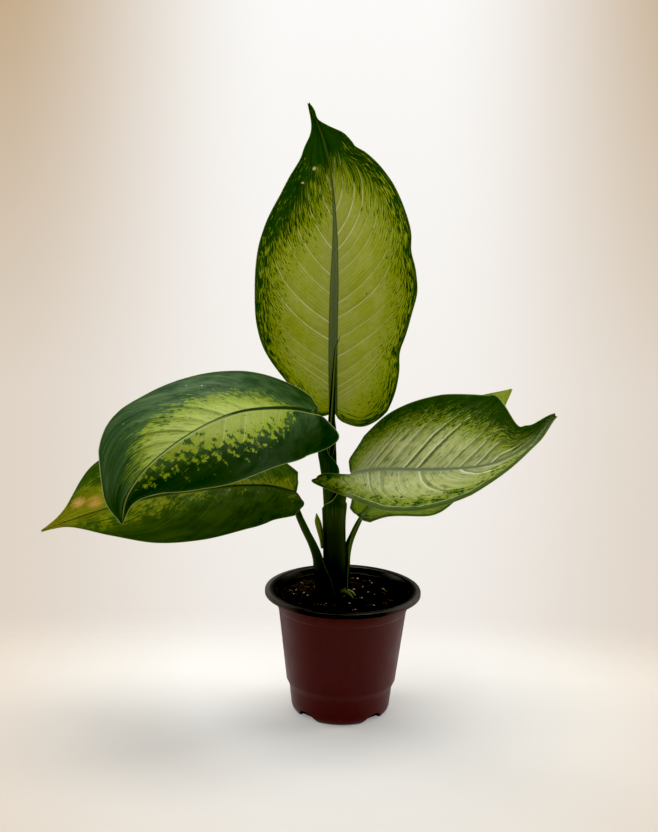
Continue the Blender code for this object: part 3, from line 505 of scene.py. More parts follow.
def bladeSheet(name, leaf, line):
    v, t = bladeGrid(leaf)
    places, across, along = leafPlaces(leaf, line, v, t)

    # numbers that the relief and the material use
    share = np.clip(along / line["length"], 0, 1)
    band = np.interp(share, *zip(*leaf["band"]))
    rib = np.abs(across) - band
    start = veinStart(leaf, along / line["length"], np.abs(t))
    w, zone, pillow, crinkle, rolled = np.zeros((5,) + t.shape)
    for side, here in halves(t):
        veins = through(leafWalk["round"], leafWalk["root"], leaf["veins"][side])
        veins = np.concatenate([[veins[0] - 0.6], veins, [1.1]])
        numbers = np.concatenate([[-11], np.arange(len(veins) - 2), [len(veins)]])
        w[here] = np.interp(start, veins, numbers)[here]
        paleEnd = through(*zip(*leaf["zones"][side]), v)
        wide = halfWidth(leaf, side, v)
        wide = wide + np.maximum(leaf["tipDark"] - wide, 0) * smooth(0, 0.4, -paleEnd)
        zone[here] = ((paleEnd - np.abs(t)) * wide)[here]
        for values, key in ((pillow, "pillow"), (crinkle, "crinkle"), (rolled, "rolled")):
            values[here] = leaf[key][side]
    alongRows, alongColumns = np.gradient(places, axis=0), np.gradient(places, axis=1)
    normal = unit(np.cross(alongColumns, alongRows) + 1e-9)
    # mm between side veins, from how fast the vein number changes over the face
    ee, ff, gg = (np.sum(a * b, axis=-1) for a, b in (
        (alongRows, alongRows), (alongRows, alongColumns), (alongColumns, alongColumns)))
    wi, wj = np.gradient(w, axis=0), np.gradient(w, axis=1)
    rate = (gg * wi * wi - 2 * ff * wi * wj + ee * wj * wj) / np.maximum(ee * gg - ff * ff, 1e-6)
    gap = np.clip(1 / np.sqrt(np.maximum(rate, 1e-4)), 0.5, 20)
    edge = marginDistance(leaf, line, places)
    edge[np.abs(t) > 0.999] = 0
    none = 0 * w

    grain = [start * line["length"], 1.4 * np.abs(across) + 0.4 * along + 150 * (t > 0), none]
    grain = np.stack(grain, axis=-1)
    # relief: quilting between the side veins, wrinkles, a shallow channel over the midrib, and a rolled
    # margin
    away = smooth(0, 6, rib) * smooth(0, 5, edge) * np.clip(gap / 7, 0.15, 1)
    uneven = 0.65 + 0.35 * np.sin(13.0 * np.round(w) + 5 * (t > 0))
    relief = pillow * uneven * np.abs(np.sin(math.pi * w)) ** 0.8 * away
    wrinkles = [noise.noise(Vector((a / 3.2, b / 13, 5.0))) + 0.5 * noise.noise(Vector((a / 1.7, b / 5, 9.0)))
                for a, b in grain.reshape(-1, 3)[:, :2]]
    relief += crinkle * np.array(wrinkles).reshape(t.shape) * smooth(0, 4, rib) * smooth(0, 4, edge)
    relief -= rolled * (1 - np.clip(edge / 2.6, 0, 1)) ** 2 * smooth(0.25, 0.4, v)
    channel = np.clip(1 - np.abs(across) / band, 0, 1)
    relief -= 0.14 * band * smooth(0, 1, channel) * smooth(0, 0.04, share + 0.01)
    relief += 0.3 * np.exp(-(((rib - 0.7) / 0.9) ** 2)) * smooth(0.02, 0.1, share)
    places = places + relief[..., None] * normal
    places[..., 2] += leaf["hook"] * smooth(0.93, 1, v)

    sheet, order = sheetOf(name, places, {
        "veins": np.stack([w, np.abs(t), gap], axis=-1),
        "grain": grain,
        "spot": np.stack([across, along, none], axis=-1),
        "zone": np.stack([zone, rib, edge], axis=-1),
    })
    full, thin, deep = (leafWalk[key] for key in ("thickness", "marginThickness", "keel"))
    keel = 1 / (1 + (np.abs(across) / leafWalk["keelHalfWidth"]) ** 4) * np.minimum(0.3 + 6 * v, 1 - 0.75 * v)
    thick = thin + (full - thin) * smooth(0, 3, edge)
    thick = thick + (deep - full) * keel * smooth(0, 3, edge + 2 * (v < 0.1))
    group = sheet.vertex_groups.new(name="thickness")
    for index, weight in enumerate((thick / deep).reshape(-1)[order]):
        group.add([index], float(weight), "REPLACE")
    return sheet


def stalkTube(name, leaf, line):
    azimuth = math.radians(leaf["azimuth"])
    behind = (math.cos(azimuth), math.sin(azimuth), 0)
    rings = [[*(onStem(where) if isinstance(where, int) else where), *behind, *sizes]
             for where, *sizes in leaf["stalk"]]
    start = line["up"][0]
    rings.append([*(line["points"][0] - 0.45 * start), *(-start), 0.9, 0.8 * rings[-1][7], 1.0, 90, 90, 0])
    end = readLine(line, "points", leafWalk["stalkEnd"]) - 1.3 * readLine(line, "up", leafWalk["stalkEnd"])
    rings.append([*end, *(-start), 0.2, 0.7, 0.4, 90, 90, 0])
    rings = np.array(rings, float)
    dense, length = densely(rings, int(runLengths(rings[:, :3])[-1] / leafWalk["stalkStep"]))
    ahead = unit(np.gradient(dense[:, :3], axis=0))
    back = squareTo(ahead, dense[:, 3:6])
    side = np.cross(ahead, back)
    shape, detail = [], []
    for row, along in enumerate(np.linspace(0, length, len(dense))):
        inner, middle, edge, clockwise, counter, hollow = dense[row, 6:]
        edge = max(0.55 * edge, 0.35)
        angles = np.radians(np.linspace(-clockwise, counter, leafWalk["stalkSteps"] + 1))
        wrap = np.where(angles < 0, math.radians(clockwise), math.radians(counter))
        wall = edge + (middle - edge) * np.cos(angles / wrap * math.pi / 2) ** 2
        backward, sideward = np.cos(angles)[:, None] * back[row], np.sin(angles)[:, None] * side[row]
        outside = (inner + wall)[:, None] * (backward + sideward)
        inside = inner * (hollow * backward + sideward)
        shape.append(np.concatenate([outside, inside[::-1], outside[:1]]) + dense[row, :3])
        fromEdge = np.minimum(angles + math.radians(clockwise), math.radians(counter) - angles)
        fromEdge = fromEdge * (inner + middle)
        detail.append(np.stack([
            np.concatenate([angles, angles[::-1], angles[:1]]) * 5,
            np.full(len(shape[-1]), along),
            np.concatenate([fromEdge, fromEdge, fromEdge[:1]])], axis=-1))
    return tubeOf(name, shape, {"stalk": np.array(detail)})


def buildLeaf(name, leaf, materials):
    line = leafLine(leaf)
    piece = bladeSheet(name + "_fine", leaf, line)
    thick = piece.modifiers.new("Thickness", "SOLIDIFY")
    thick.thickness = leafWalk["keel"] * mm
    thick.offset = -1
    thick.vertex_group = "thickness"
    thick.material_offset = 1
    thick.material_offset_rim = 1
    for material in materials:
        piece.data.materials.append(material)
    applyAll(piece)
    stalk = stalkTube(name + "_stalk", leaf, line)
    stalk.data.materials.append(materials[2])
    dress(join([piece, stalk]), name)
    print("leaf", name, "length", round(float(line["length"]), 1), "faces", len(piece.data.polygons))


# Looks of the leaves, with a value for each leaf in the order above: sRGB colours, softness of the pale
# middle's edge in mm, and strengths of streaks and veins. Pairs are for the left and the right half of the
# blade, but for the band, where they are for its foot and its tip. Strips are from mm, to mm and colour.
# Spots are across, along, radius, softness and colour.
leafLooks = {
    # the second leaf's dark and darker greens are greyed: a painted sheen of the lamps over its dark tissue
    "dark": ("#2A540A", "#46643A", "#324E08", "#2A4A08", "#284208"),
    "darker": ("#1C3E06", "#244422", "#243C06", "#1C3A05", "#1F3806"),
    "middle": ("#71900E", "#557420", "#4A640A", "#7A9014", "#3E5A0C"),
    "pale": ("#AEBE3E", "#94A648", "#5C640C", "#A6AF70", "#4E680E"),
    "paler": ("#BECA60", "#A8B660", "#6A6E10", "#BCC48E", "#587012"),
    "lime": ("#A2B420", "#8EA22E", "#7C8414", "#849630", "#6C8412"),
    "near": ("#B4C060", "#A2B25A", "#5C6A0E", "#98A272", "#587216"),
    "vein": ("#F0F4D0", "#BFCB8A", "#98A444", "#E6EBD2", "#7F9238"),
    "band": (("#6E8058", "#7C8E5C"), ("#1F3512", "#93A65E"), ("#2C420C", "#40580F"), ("#7F8E66", "#7F8E66"),
             ("#4C6420", "#60742E")),
    "bandTurn": ((60, 150), (72, 100), (60, 150), (60, 150), (60, 150)),
    # bandEdge: on the second and the fourth leaf the right edge is dark as painted shadow beside the midrib
    "bandEdge": (("#5C7034", "#4A5E28"), ("#93A65E", "#2C4618"), ("#1E3206", "#1E3206"),
                 ("#8A986E", "#3C5028"), ("#2F4610", "#2F4610")),
    "rim": ("#6F8450", "#A9B790", "#5E7430", "#7F8F5C", "#7E9048"),
    "hair": (0.4, 0.8, 0.4, 0.5, 0.4),
    "shine": (0.16, 0.1, 0.08, 0.12, 0.15),
    "parallel": (15.0, 0, 0, 0, 0),
    # shade, paintedShadeFrom and deep: painted shade that darkens each half towards its margin: its strength
    # per half, the share of the half width where it starts, and its colour
    "shade": ((0.5, 0.5), (0.8, 0.0), (0.2, 0.0), (0.5, 0.0), (0.1, 0.1)),
    "paintedShadeFrom": (0.45, 0.15, 0.45, 0.5, 0.45),
    "deep": ("#224208", "#0E2A07", "#142803", "#142E04", "#182C05"),
    "blend": (0.3, 0.4, 0.5, 0.3, 0.3),
    "soft": (13.0, 9.0, 12.0, 10.0, 8.0),
    "streak": ((0.3, 0.3), (0.3, 1.1), (0.9, 0.9), (0.4, 0.5), (0.6, 0.6)),
    "speckle": ((1.8, 1.7), (0.5, 1.1), (1.2, 1.0), (1.5, 0.9), (0.4, 0.4)),
    "blots": ((0.25, 0.15), (2.0, 0.3), (1.1, 0.8), (0.2, 1.5), (0.3, 0.3)),
    "blotSize": (14.0, 6.0, 11.0, 8.0, 12.0),
    # furrowShade and furrowShadeColour: painted shade along one side of each vein ridge, over the green of
    # the corrugated tissue
    "furrowShade": ((0.2, 0.2), (0.25, 0.8), (0.3, 0.3), (1.0, 0.8), (0.2, 0.2)),
    "furrowShadeColour": ("#7F9420", "#5A741C", "#324E08", "#3A560C", "#34500A"),
    "crease": ((0.28, 0.28), (0.2, 0.35), (0.2, 0.2), (0.6, 1.0), (0.2, 0.2)),
    "veinStrength": (1.0, 0.4, 0.35, 0.7, 0.25),
    "veinWidth": (0.68, 0.9, 0.7, 1.2, 0.7),
    "veinUneven": (0.3, 0.2, 0.2, 0.15, 0.2),
    "veinInDark": (0.0, 0.06, 0.35, 0.1, 0.3),
    "fine": (0.15, 0.05, 0.05, 0.06, 0.06),
    "rough": (0.47, 0.46, 0.6, 0.46, 0.55),
    "under": ("#6F8A34", "#5C7A3C", "#5C7A30", "#6C8838", "#B0BC2C"),
    "underPale": ("#A3AF58", "#84994F", "#7F9448", "#A3B072", "#BCC640"),
    "stalk": ("#1C340C", "#20380F", "#22400C", "#20380F", "#42601A"),
    "stalkPale": ("#7F9450", "#8FA35C", "#6F8844", "#93A068", "#6F8844"),
    "sheath": (40.0, 50.0, 62.0, 60.0, 45.0),
    "sheathEdge": (0.5, 0.6, 0.25, 0.7, 0.6),
    "strips": ([], [], [], [(4.0, 3.6, "#A3AF78"), (3.4, 3.0, "#4A6430")], []),
    # the fifth leaf's spot at its tip is painted light: the tip glowing with light through it
    "spots": ([(-11.6, 185, 1.8, 0, "#D9D6A8"), (-21.9, 175, 1.3, 0, "#D9D6A8"),
              (24.4, 89.6, 0.8, 0, "#39420F")], [(43.4, 84.5, 0.6, 0, "#A9B59C"),
              (37.6, 75.8, 0.6, 0, "#B4BFA8"), (41.2, 139.5, 0.6, 0, "#A9B59C"),
              (8.9, 122, 0.6, 0, "#2A3A10"), (3.9, 65.7, 0.6, 0, "#2A3A10"), (-3.8, 65.7, 0.7, 0, "#2A3A10"),
              (-10.2, 95.3, 0.6, 0, "#2A3A10")], [(4, 186, 15.0, 0.8, "#6C6A10"),
              (12, 156, 11.0, 0.9, "#6C6C0C"), (10, 152, 5.2, 0.6, "#B08C40"), (15, 164, 4.6, 0.6, "#B4924A"),
              (-34, 31, 1.1, 0, "#0F1804"), (-36, 12, 0.9, 0, "#0F1804")], [(40.1, 84.5, 1.2, 0, "#0C1404"),
              (33.5, 74.6, 1.7, 0, "#0C1404"), (22.8, 62.4, 1.1, 0, "#0C1404"),
              (33.2, 53.3, 0.9, 0, "#0C1404"), (31.0, 40.0, 0.9, 0, "#0C1404"),
              (18.5, 1.4, 1.1, 0, "#0C1404")], [(0, 170, 17.0, 0.8, "#717E16")]),
}

leafFlesh = {"Subsurface Weight": 0.35, "Subsurface Radius": (1.0, 1.0, 0.3), "Subsurface Scale": 0.002}


def bladeNumbers(add):
    # what a blade's attributes say: grain and place, then across, along, vein number, share of the half
    # width, mm between veins, and mm inside the pale zone, beyond the midrib's band and from the margin
    grain, spot, veins, zones = (add("Attribute", out="Vector", attribute_name=key)
                                 for key in ("grain", "spot", "veins", "zone"))
    across, along, _ = add("SeparateXYZ", {0: spot}).node.outputs
    return [grain, spot, across, along, *add("SeparateXYZ", {0: veins}).node.outputs,
            *add("SeparateXYZ", {0: zones}).node.outputs]


def nearestVein(add, w, gap):
    # number of the nearest side vein, how far off it in vein numbers, and how far in mm
    whole = add("Math", {0: w}, operation="ROUND")
    off = add("Math", {0: w, 1: whole}, operation="SUBTRACT")
    away = add("Math", {0: off}, operation="ABSOLUTE")
    return whole, off, add("Math", {0: away, 1: gap}, operation="MULTIPLY")


def bladeMaterial(name, look):
    # leaf cuticle over variegated tissue: satin, streaked along the veins, dark towards the margin, and on
    # some halves darker still there by painted shade
    material, add = newMaterial(name)
    grain, spot, across, along, w, share, gap, zone, rib, edge = bladeNumbers(add)
    half = add("Math", {0: across}, operation="SIGN")
    right = add("MapRange", {0: half, 1: -1.0, 2: 1.0})
    amount = {key: add("MapRange", {0: right, 3: look[key][0], 4: look[key][1]})
              for key in ("streak", "speckle", "blots", "furrowShade", "crease", "shade")}

    # streaks run along the side veins: about 3 mm wide and 16 mm long, with dashes of 0.9 by 6 mm
    streak = drawnNoise(add, grain, (0.33, 0.06, 1), 3.0, 0.6)
    speck = drawnNoise(add, grain, (1.1, 0.17, 1), 2.0, 0.7)
    if look["parallel"]:
        # near the margin the dashes run along it
        beside = add("CombineXYZ", {0: edge, 1: along, 2: half})
        beside = drawnNoise(add, beside, (1.3, 0.12, 1), 2.0, 0.7)
        turned = add("MapRange", {0: edge, 1: look["parallel"], 2: 0.4 * look["parallel"]})
        speck = add("Mix", {0: turned, 2: speck, 3: beside}, data_type="FLOAT")
    blots = add("TexNoise", {"Vector": spot, "Scale": 1 / look["blotSize"], "Detail": 4.0, "Roughness": 0.65})
    streak, speck, blots = (add("MapRange", {0: wave, 1: 0.3, 2: 0.7, 3: -1.0, 4: 1.0}, clamp=False)
                            for wave in (streak, speck, blots))
    level = add("Math", {0: zone, 1: look["soft"]}, operation="DIVIDE")
    field = level
    for wave, key in ((streak, "streak"), (speck, "speckle"), (blots, "blots")):
        field = add("Math", {0: wave, 1: amount[key], 2: field}, operation="MULTIPLY_ADD")
    halfway, mask = (add("MapRange", {0: field, 1: low * look["blend"], 2: high * look["blend"]},
                         interpolation_type="SMOOTHSTEP") for low, high in ((-1.2, 0.2), (0.0, 1.0)))

    patches = add("TexNoise", {"Vector": grain, "Scale": 0.055, "Detail": 2.0})
    patches = add("MapRange", {0: patches, 1: 0.35, 2: 0.65})
    tone = add("Math", {0: streak, 1: 0.55, 2: patches}, operation="MULTIPLY_ADD")
    # painted shade: the half darkens towards its margin, where it turns away from the lamps
    paintedShade = add("MapRange", {0: share, 1: look["paintedShadeFrom"], 2: look["paintedShadeFrom"] + 0.5})
    paintedShade = add("Math", {0: paintedShade, 1: amount["shade"]}, operation="MULTIPLY")
    dark = paint(add, look["dark"], [(tone, look["darker"]), (paintedShade, look["deep"])])
    mottle = add("TexNoise", {"Vector": spot, "Scale": 0.22, "Detail": 5.0, "Roughness": 0.7})
    inner, mottle, border = (add("MapRange", ranges) for ranges in (
        {0: rib, 1: 16.0, 2: 1.0}, {0: mottle, 1: 0.45, 2: 0.68, 3: 0.0, 4: 0.5}, {0: level, 1: 1.6, 2: 0.1}))
    pale = paint(add, look["pale"], [(patches, look["paler"]), (inner, look["near"]), (mottle, look["lime"]),
                                     (border, look["lime"])])
    layers = [(halfway, look["middle"]), (mask, pale)]

    # side veins: pale lines about 0.5 mm wide where the vein number is whole, weaker towards the margin, at
    # the leaf's base, between streaks and on the dark, and no two alike
    whole, off, away = nearestVein(add, w, gap)
    broad = add("MapRange", {0: share, 1: 0.1, 2: 0.9, 3: look["veinWidth"], 4: 0.4 * look["veinWidth"]})
    away = add("Math", {0: away, 1: broad}, operation="DIVIDE")
    line = add("MapRange", {0: away, 1: 1.0, 2: 0.3, 3: 0.0, 4: look["veinStrength"]},
               interpolation_type="SMOOTHSTEP")
    seed = add("Math", {0: whole, 1: 3.7, 2: half}, operation="MULTIPLY_ADD")
    uneven = add("TexWhiteNoise", {"W": seed}, noise_dimensions="1D")
    uneven, *others = (add("MapRange", ranges) for ranges in (
        {0: uneven, 3: look["veinUneven"], 4: 1.0}, {0: share, 1: 0.95, 2: 0.5},
        {0: w, 1: 0.5, 2: 5.0, 3: 0.08, 4: 1.0}, {0: streak, 1: -1.2, 2: 0.3, 3: 0.35, 4: 1.0},
        {0: mask, 3: look["veinInDark"], 4: 1.0}))
    for factor in (uneven, *others):
        line = add("Math", {0: line, 1: factor}, operation="MULTIPLY")
    # a darker green furrow on one side of each vein: painted shade on the side of the ridge that faces away
    # from the light, over the green of the corrugated tissue; and shadow in the streaks
    furrowShade = add("Math", {0: speck, 1: 0.05, 2: off}, operation="MULTIPLY_ADD")
    furrowShade = add("Math", {0: furrowShade, 1: 0.16}, operation="SUBTRACT")
    furrowShade = add("Math", {0: furrowShade}, operation="ABSOLUTE")
    furrowShade = add("MapRange", {0: furrowShade, 1: 0.15, 2: 0.02}, interpolation_type="SMOOTHSTEP")
    furrowShade = add("Math", {0: furrowShade, 1: uneven}, operation="MULTIPLY")
    shadow = add("MapRange", {0: streak, 1: 0.05, 2: 0.9, 3: 0.0, 4: 0.7})
    for factor in (amount["furrowShade"], mask):
        furrowShade, shadow = (add("Math", {0: cover, 1: factor}, operation="MULTIPLY")
                          for cover in (furrowShade, shadow))
    # seven finer parallel veins in each gap
    many = add("Math", {0: w, 1: 7.0, 2: 0.5}, operation="MULTIPLY_ADD")
    many = add("Math", {0: many, 1: 0.5}, operation="PINGPONG")
    thin = add("MapRange", {0: many, 1: 0.3, 2: 0.5, 3: 0.0, 4: look["fine"]})
    faint = add("MapRange", {0: speck, 1: -0.6, 2: 0.8, 3: 0.2, 4: 1.6})
    for factor in (mask, faint):
        thin = add("Math", {0: thin, 1: factor}, operation="MULTIPLY")
    layers += [(furrowShade, look["furrowShadeColour"]), (shadow, look["furrowShadeColour"]), (line, look["vein"]),
               (thin, look["vein"])]

    # midrib band with thin dark edges, on two leaves dark on one side only as painted shadow beside the
    # midrib, and a few brown dots
    inBand = add("MapRange", {0: rib, 1: 0.15, 2: -0.15})
    atEdge = add("Math", {0: rib}, operation="ABSOLUTE")
    dots = add("TexVoronoi", {"Vector": spot, "Scale": 0.45})
    atEdge, further, dots = (add("MapRange", ranges) for ranges in (
        {0: atEdge, 1: 0.6, 2: 0.1}, {0: along, 1: look["bandTurn"][0], 2: look["bandTurn"][1]},
        {0: dots, 1: 0.17, 2: 0.1}))
    dots = add("Math", {0: dots, 1: inBand}, operation="MULTIPLY")
    band, bandEdge = (paint(add, look[key][0], [(turn, look[key][1])])
                      for key, turn in (("band", further), ("bandEdge", right)))
    layers += [(inBand, band), (atEdge, bandEdge), (dots, "#4A4420")]

    # margin: a darker rim, then a pale hairline; where the margin rolls under, a grey-green strip beyond a
    # pale line
    layers.append((add("MapRange", {0: edge, 1: 3.0, 2: 1.0, 3: 0.0, 4: 0.85}), look["darker"]))
    for inner, outer, strip in look["strips"]:
        cover = add("MapRange", {0: edge, 1: inner, 2: outer})
        for factor in (add("MapRange", {0: along, 1: 8.0, 2: 30.0}), right):
            cover = add("Math", {0: cover, 1: factor}, operation="MULTIPLY")
        layers.append((cover, strip))
    layers.append((add("MapRange", {0: edge, 1: 0.55, 2: 0.25, 3: 0.0, 4: look["hair"]}), look["rim"]))

    # single marks: damage and specks at their places on the blade; on the fifth leaf a pale patch at the tip
    # is painted light, the glow of light through it
    ragged = add("TexNoise", {"Vector": spot, "Scale": 0.6, "Detail": 2.0})
    for acrossAt, alongAt, radius, fuzz, mark in look["spots"]:
        away = add("VectorMath", {0: spot, 1: (acrossAt, alongAt, 0)}, out="Value", operation="DISTANCE")
        away = add("Math", {0: ragged, 1: radius * 1.4, 2: away}, operation="MULTIPLY_ADD")
        cover = add("MapRange", {0: away, 1: radius * (1.6 + fuzz), 2: radius * (1.2 - 0.5 * fuzz)})
        layers.append((cover, mark))

    # relief too fine for the mesh: leaf cells of 0.5 mm, drawn coarser than life, and the parallel veins
    cells = add("TexVoronoi", {"Vector": grain, "Scale": 1.9})
    crease = add("Math", {0: streak, 1: 0.8, 2: speck}, operation="MULTIPLY_ADD")
    height = 0.0
    for wave, depth in ((cells, 0.35), (many, 0.8), (crease, amount["crease"])):
        height = add("Math", {0: wave, 1: depth, 2: height}, operation="MULTIPLY_ADD")
    gloss = add("MapRange", {0: patches, 3: look["rough"] - 0.05, 4: look["rough"] + 0.06})
    return coat(material, paint(add, dark, layers), gloss, height, 0.45, 0.0004,
                {"Specular IOR Level": look["shine"], **leafFlesh})


def undersideMaterial(name, look):
    # lower epidermis: paler and duller than the upper face, with raised veins that show lighter
    material, add = newMaterial(name)
    grain, *_, w, _, gap, zone, rib, _ = bladeNumbers(add)
    patches = add("TexNoise", {"Vector": grain, "Scale": 0.12, "Detail": 4.0})
    pale = add("MapRange", {0: zone, 1: -8.0, 2: 8.0, 3: 0.0, 4: 0.7})
    pale = add("Math", {0: patches, 1: 0.3, 2: pale}, operation="MULTIPLY_ADD")
    _, _, away = nearestVein(add, w, gap)
    line = add("MapRange", {0: away, 1: 0.9, 2: 0.2, 3: 0.0, 4: 0.45}, interpolation_type="SMOOTHSTEP")
    keel = add("MapRange", {0: rib, 1: 0.6, 2: -0.4, 3: 0.0, 4: 0.6})
    colour = paint(add, look["under"], [(pale, look["underPale"]), (line, look["stalkPale"]),
                                        (keel, look["stalkPale"])])
    cells = add("TexVoronoi", {"Vector": grain, "Scale": 1.6})
    return coat(material, colour, 0.55, cells, 0.3, 0.0004, {"Specular IOR Level": 0.25, **leafFlesh})


def stalkMaterial(name, look):
    # fleshy stalk: satin green with fine lengthwise fibres and pale thin sheath margins, darker along the
    # sheath near the stem as painted shade under the leaves
    material, add = newMaterial(name)
    stalk = add("Attribute", out="Vector", attribute_name="stalk")
    _, along, edge = add("SeparateXYZ", {0: stalk}).node.outputs
    fibres = drawnNoise(add, stalk, (1.6, 0.07, 0), 3.0)
    mottle = drawnNoise(add, stalk, (0.5, 0.16, 0), 4.0)
    # foot: painted shade, the sheath darkened near the stem where it stands under the leaves
    tint, shade, foot, margin = (add("MapRange", ranges) for ranges in (
        {0: fibres, 1: 0.5, 2: 0.8, 3: 0.0, 4: 0.14}, {0: mottle, 1: 0.35, 2: 0.7, 3: 0.5, 4: 0.0},
        {0: along, 1: look["sheath"], 2: look["sheath"] - 18.0},
        {0: edge, 1: 1.3, 2: 0.3, 3: 0.0, 4: look["sheathEdge"]}))
    colour = paint(add, look["stalk"], [(tint, look["stalkPale"]), (shade, look["darker"]), (foot, "#14260A"),
                                        (margin, look["stalkPale"])])
    return coat(material, colour, 0.4, fibres, 0.3, 0.0005, {"Specular IOR Level": 0.22})


for index, (leafName, leaf) in enumerate(leaves.items()):
    look = {key: values[index] for key, values in leafLooks.items()}
    buildLeaf(leafName, {**plainLeaf, **leaf}, [
        bladeMaterial(leafName + "_cuticle", look), undersideMaterial(leafName + "_underside", look),
        stalkMaterial(leafName + "_stalk_skin", look)])
print("leaves done")


# Rolled leaf and side shoot

rolls = {
    # path: points with the radius there; step: how far the outer edge of the roll stands over the turn
    # below it; seam: azimuth of that edge; twist: degrees that it winds from foot to tip; fold: a faint
    # line down the front
    "rolled_leaf": {
        "path": [(-7.95, 0.33, 130, 3.1), (-9.1, 0.2, 160, 3.1), (-12.2, -0.8, 212, 3.1),
                 (-11.6, -1.4, 236, 2.8), (-11.0, -2.2, 256, 2.3), (-10.4, -3.5, 276, 1.6),
                 (-9.2, -5.0, 290, 0.9), (-6.6, -6.0, 297, 0.3)],
        "rows": 120, "sides": 56, "step": 0.45, "seam": -125, "twist": 35, "fold": 0, "flat": 1.0,
        "sharp": 60, "skin": "#14280A", "edge": "#6F8444", "dark": "#0A1804",
    },
    "side_shoot": {
        "path": [(-16.9, 4.8, 129, 0.8), (-17.4, 4.9, 136, 1.6), (-18.7, 4.6, 143, 2.3),
                 (-20.5, 4.3, 151, 2.3), (-21.5, 3.9, 157, 0.35)],
        "rows": 40, "sides": 32, "step": 0, "seam": 0, "twist": 0, "fold": 0.1, "flat": 0.85, "sharp": None,
        "skin": "#8FA23C", "edge": "#9DAC5C", "dark": "#6F8628",
    },
}


def buildRoll(name, settings, material):
    dense, length = densely(settings["path"], settings["rows"])
    turn = np.linspace(0, 1, settings["sides"] + 1)
    shape, detail = [], []
    for (x, y, z, radius), share in zip(dense, np.linspace(0, 1, len(dense))):
        angles = math.radians(settings["seam"] + settings["twist"] * share) + 2 * math.pi * turn
        # the roll thins away from its outer edge, which leaves the step that shows as a seam
        reach = radius * (1 + settings["fold"] * np.cos(angles + 1.2) ** 8)
        reach = reach - min(settings["step"], 0.3 * radius) * turn ** 0.6
        reach[-1] = reach[0]
        shape.append(levelRing(x, y, z, reach, angles, settings["flat"]))
        girth = turn * 2 * math.pi * radius
        girth[-1] = 0
        detail.append(np.stack([girth, np.full(len(turn), length * share), 0 * turn], axis=-1))
    piece = tubeOf(name + "_fine", shape, {"roll": np.array(detail)})
    dress(piece, name, [material], settings["sharp"])


def rollMaterial(name, settings):
    # young rolled leaf: waxy and very dark in the middle, lighter and yellower at its free edge
    material, add = newMaterial(name)
    roll = add("Attribute", out="Vector", attribute_name="roll")
    turn = add("SeparateXYZ", {0: roll})
    fibres = drawnNoise(add, roll, (1.4, 0.09, 0), 3.0)
    tint = add("MapRange", {0: fibres, 1: 0.4, 2: 0.7})
    atEdge = add("MapRange", {0: turn, 1: 1.5, 2: 0.4, 3: 0.0, 4: 0.9})
    colour = paint(add, settings["dark"], [(tint, settings["skin"]), (atEdge, settings["edge"])])
    return coat(material, colour, 0.36, fibres, 0.3, 0.0004, {"Specular IOR Level": 0.35})


for rollName, roll in rolls.items():
    buildRoll(rollName, roll, rollMaterial(rollName + "_skin", roll))
print("rolled leaf and side shoot done")


# Cane

cane = {
    # height and radius: hidden foot, then the short stretch between the mix and the first sheaths
    "profile": [(44.3, 7.5), (48, 10.8), (52, 11.3), (84, 11.3), (85.7, 9.3), (89, 9.15), (92.2, 9.2),
                (93, 9.42), (93.8, 9.15), (96.2, 9.1), (97, 9.4), (97.8, 9.15), (99.6, 9.2), (100.3, 9.0),
                (100.6, 6.9), (104.5, 6.85), (104.8, 5.0), (117.5, 4.95), (117.8, 3.2), (129.6, 3.1)],
    "sides": 64,
    "roots": [[(-2, -5, 97.5), (2.2, -8.6, 98.6), (5.6, -10.2, 97.2), (8.0, -10.8, 94.8)],
              [(0, -2, 97.0), (4.6, -4.4, 98.4), (7.6, -5.6, 97.4), (9.8, -6.2, 95.0)]],
    "rootRadius": (1.15, 1.15, 1.0, 0.5), "rootRows": 24, "rootSides": 20, "rootEnd": 0.35,
}


def buildCane(settings, bark, rootSkin):
    angles = np.linspace(0, 2 * math.pi, settings["sides"] + 1)
    pieces = [tubeOf("cane_fine", [levelRing(*onStem(height)[:2], height, radius, angles)
                                   for height, radius in settings["profile"]])]
    pieces[0].data.materials.append(bark)
    for route in settings["roots"]:
        knots = [(*point, radius) for point, radius in zip(route, settings["rootRadius"])]
        dense, _ = densely(knots, settings["rootRows"])
        rings = ringsRound(dense[:, :3], dense[:, 3], settings["rootSides"])
        # the blunt end: a last ring of half the radius, a little further on
        end, before = dense[-1, :3], dense[-2, :3]
        rings.append(end + settings["rootEnd"] * unit(end - before) + 0.5 * (rings[-1] - end))
        pieces.append(tubeOf("root", rings))
        pieces[-1].data.materials.append(rootSkin)
    dress(join(pieces), "cane", sharp=50)


def barkMaterial(name, colours, roughness, depth):
    # green stem skin with rings of old leaf scars and fine corky cracks
    material, add = newMaterial(name)
    coords = add("TexCoord", out="Object")
    bands = drawnNoise(add, coords, (120, 120, 700), 4.0, 0.6)
    grit = add("TexNoise", {"Vector": coords, "Scale": 900.0, "Detail": 3.0})
    height = add("Math", {0: grit, 1: 0.4, 2: bands}, operation="MULTIPLY_ADD")
    return coat(material, rampOf(add, bands, (0.32, 0.5, 0.7), colours), roughness, height, 0.6, depth, {})


buildCane(cane, barkMaterial("stem_skin", ("#0A1205", "#141F08", "#2A3410"), 0.55, 0.0006),
          barkMaterial("root_skin", ("#4C5A1C", "#6E7A30", "#8C9448"), 0.5, 0.0003))
print("cane done")


# Pot

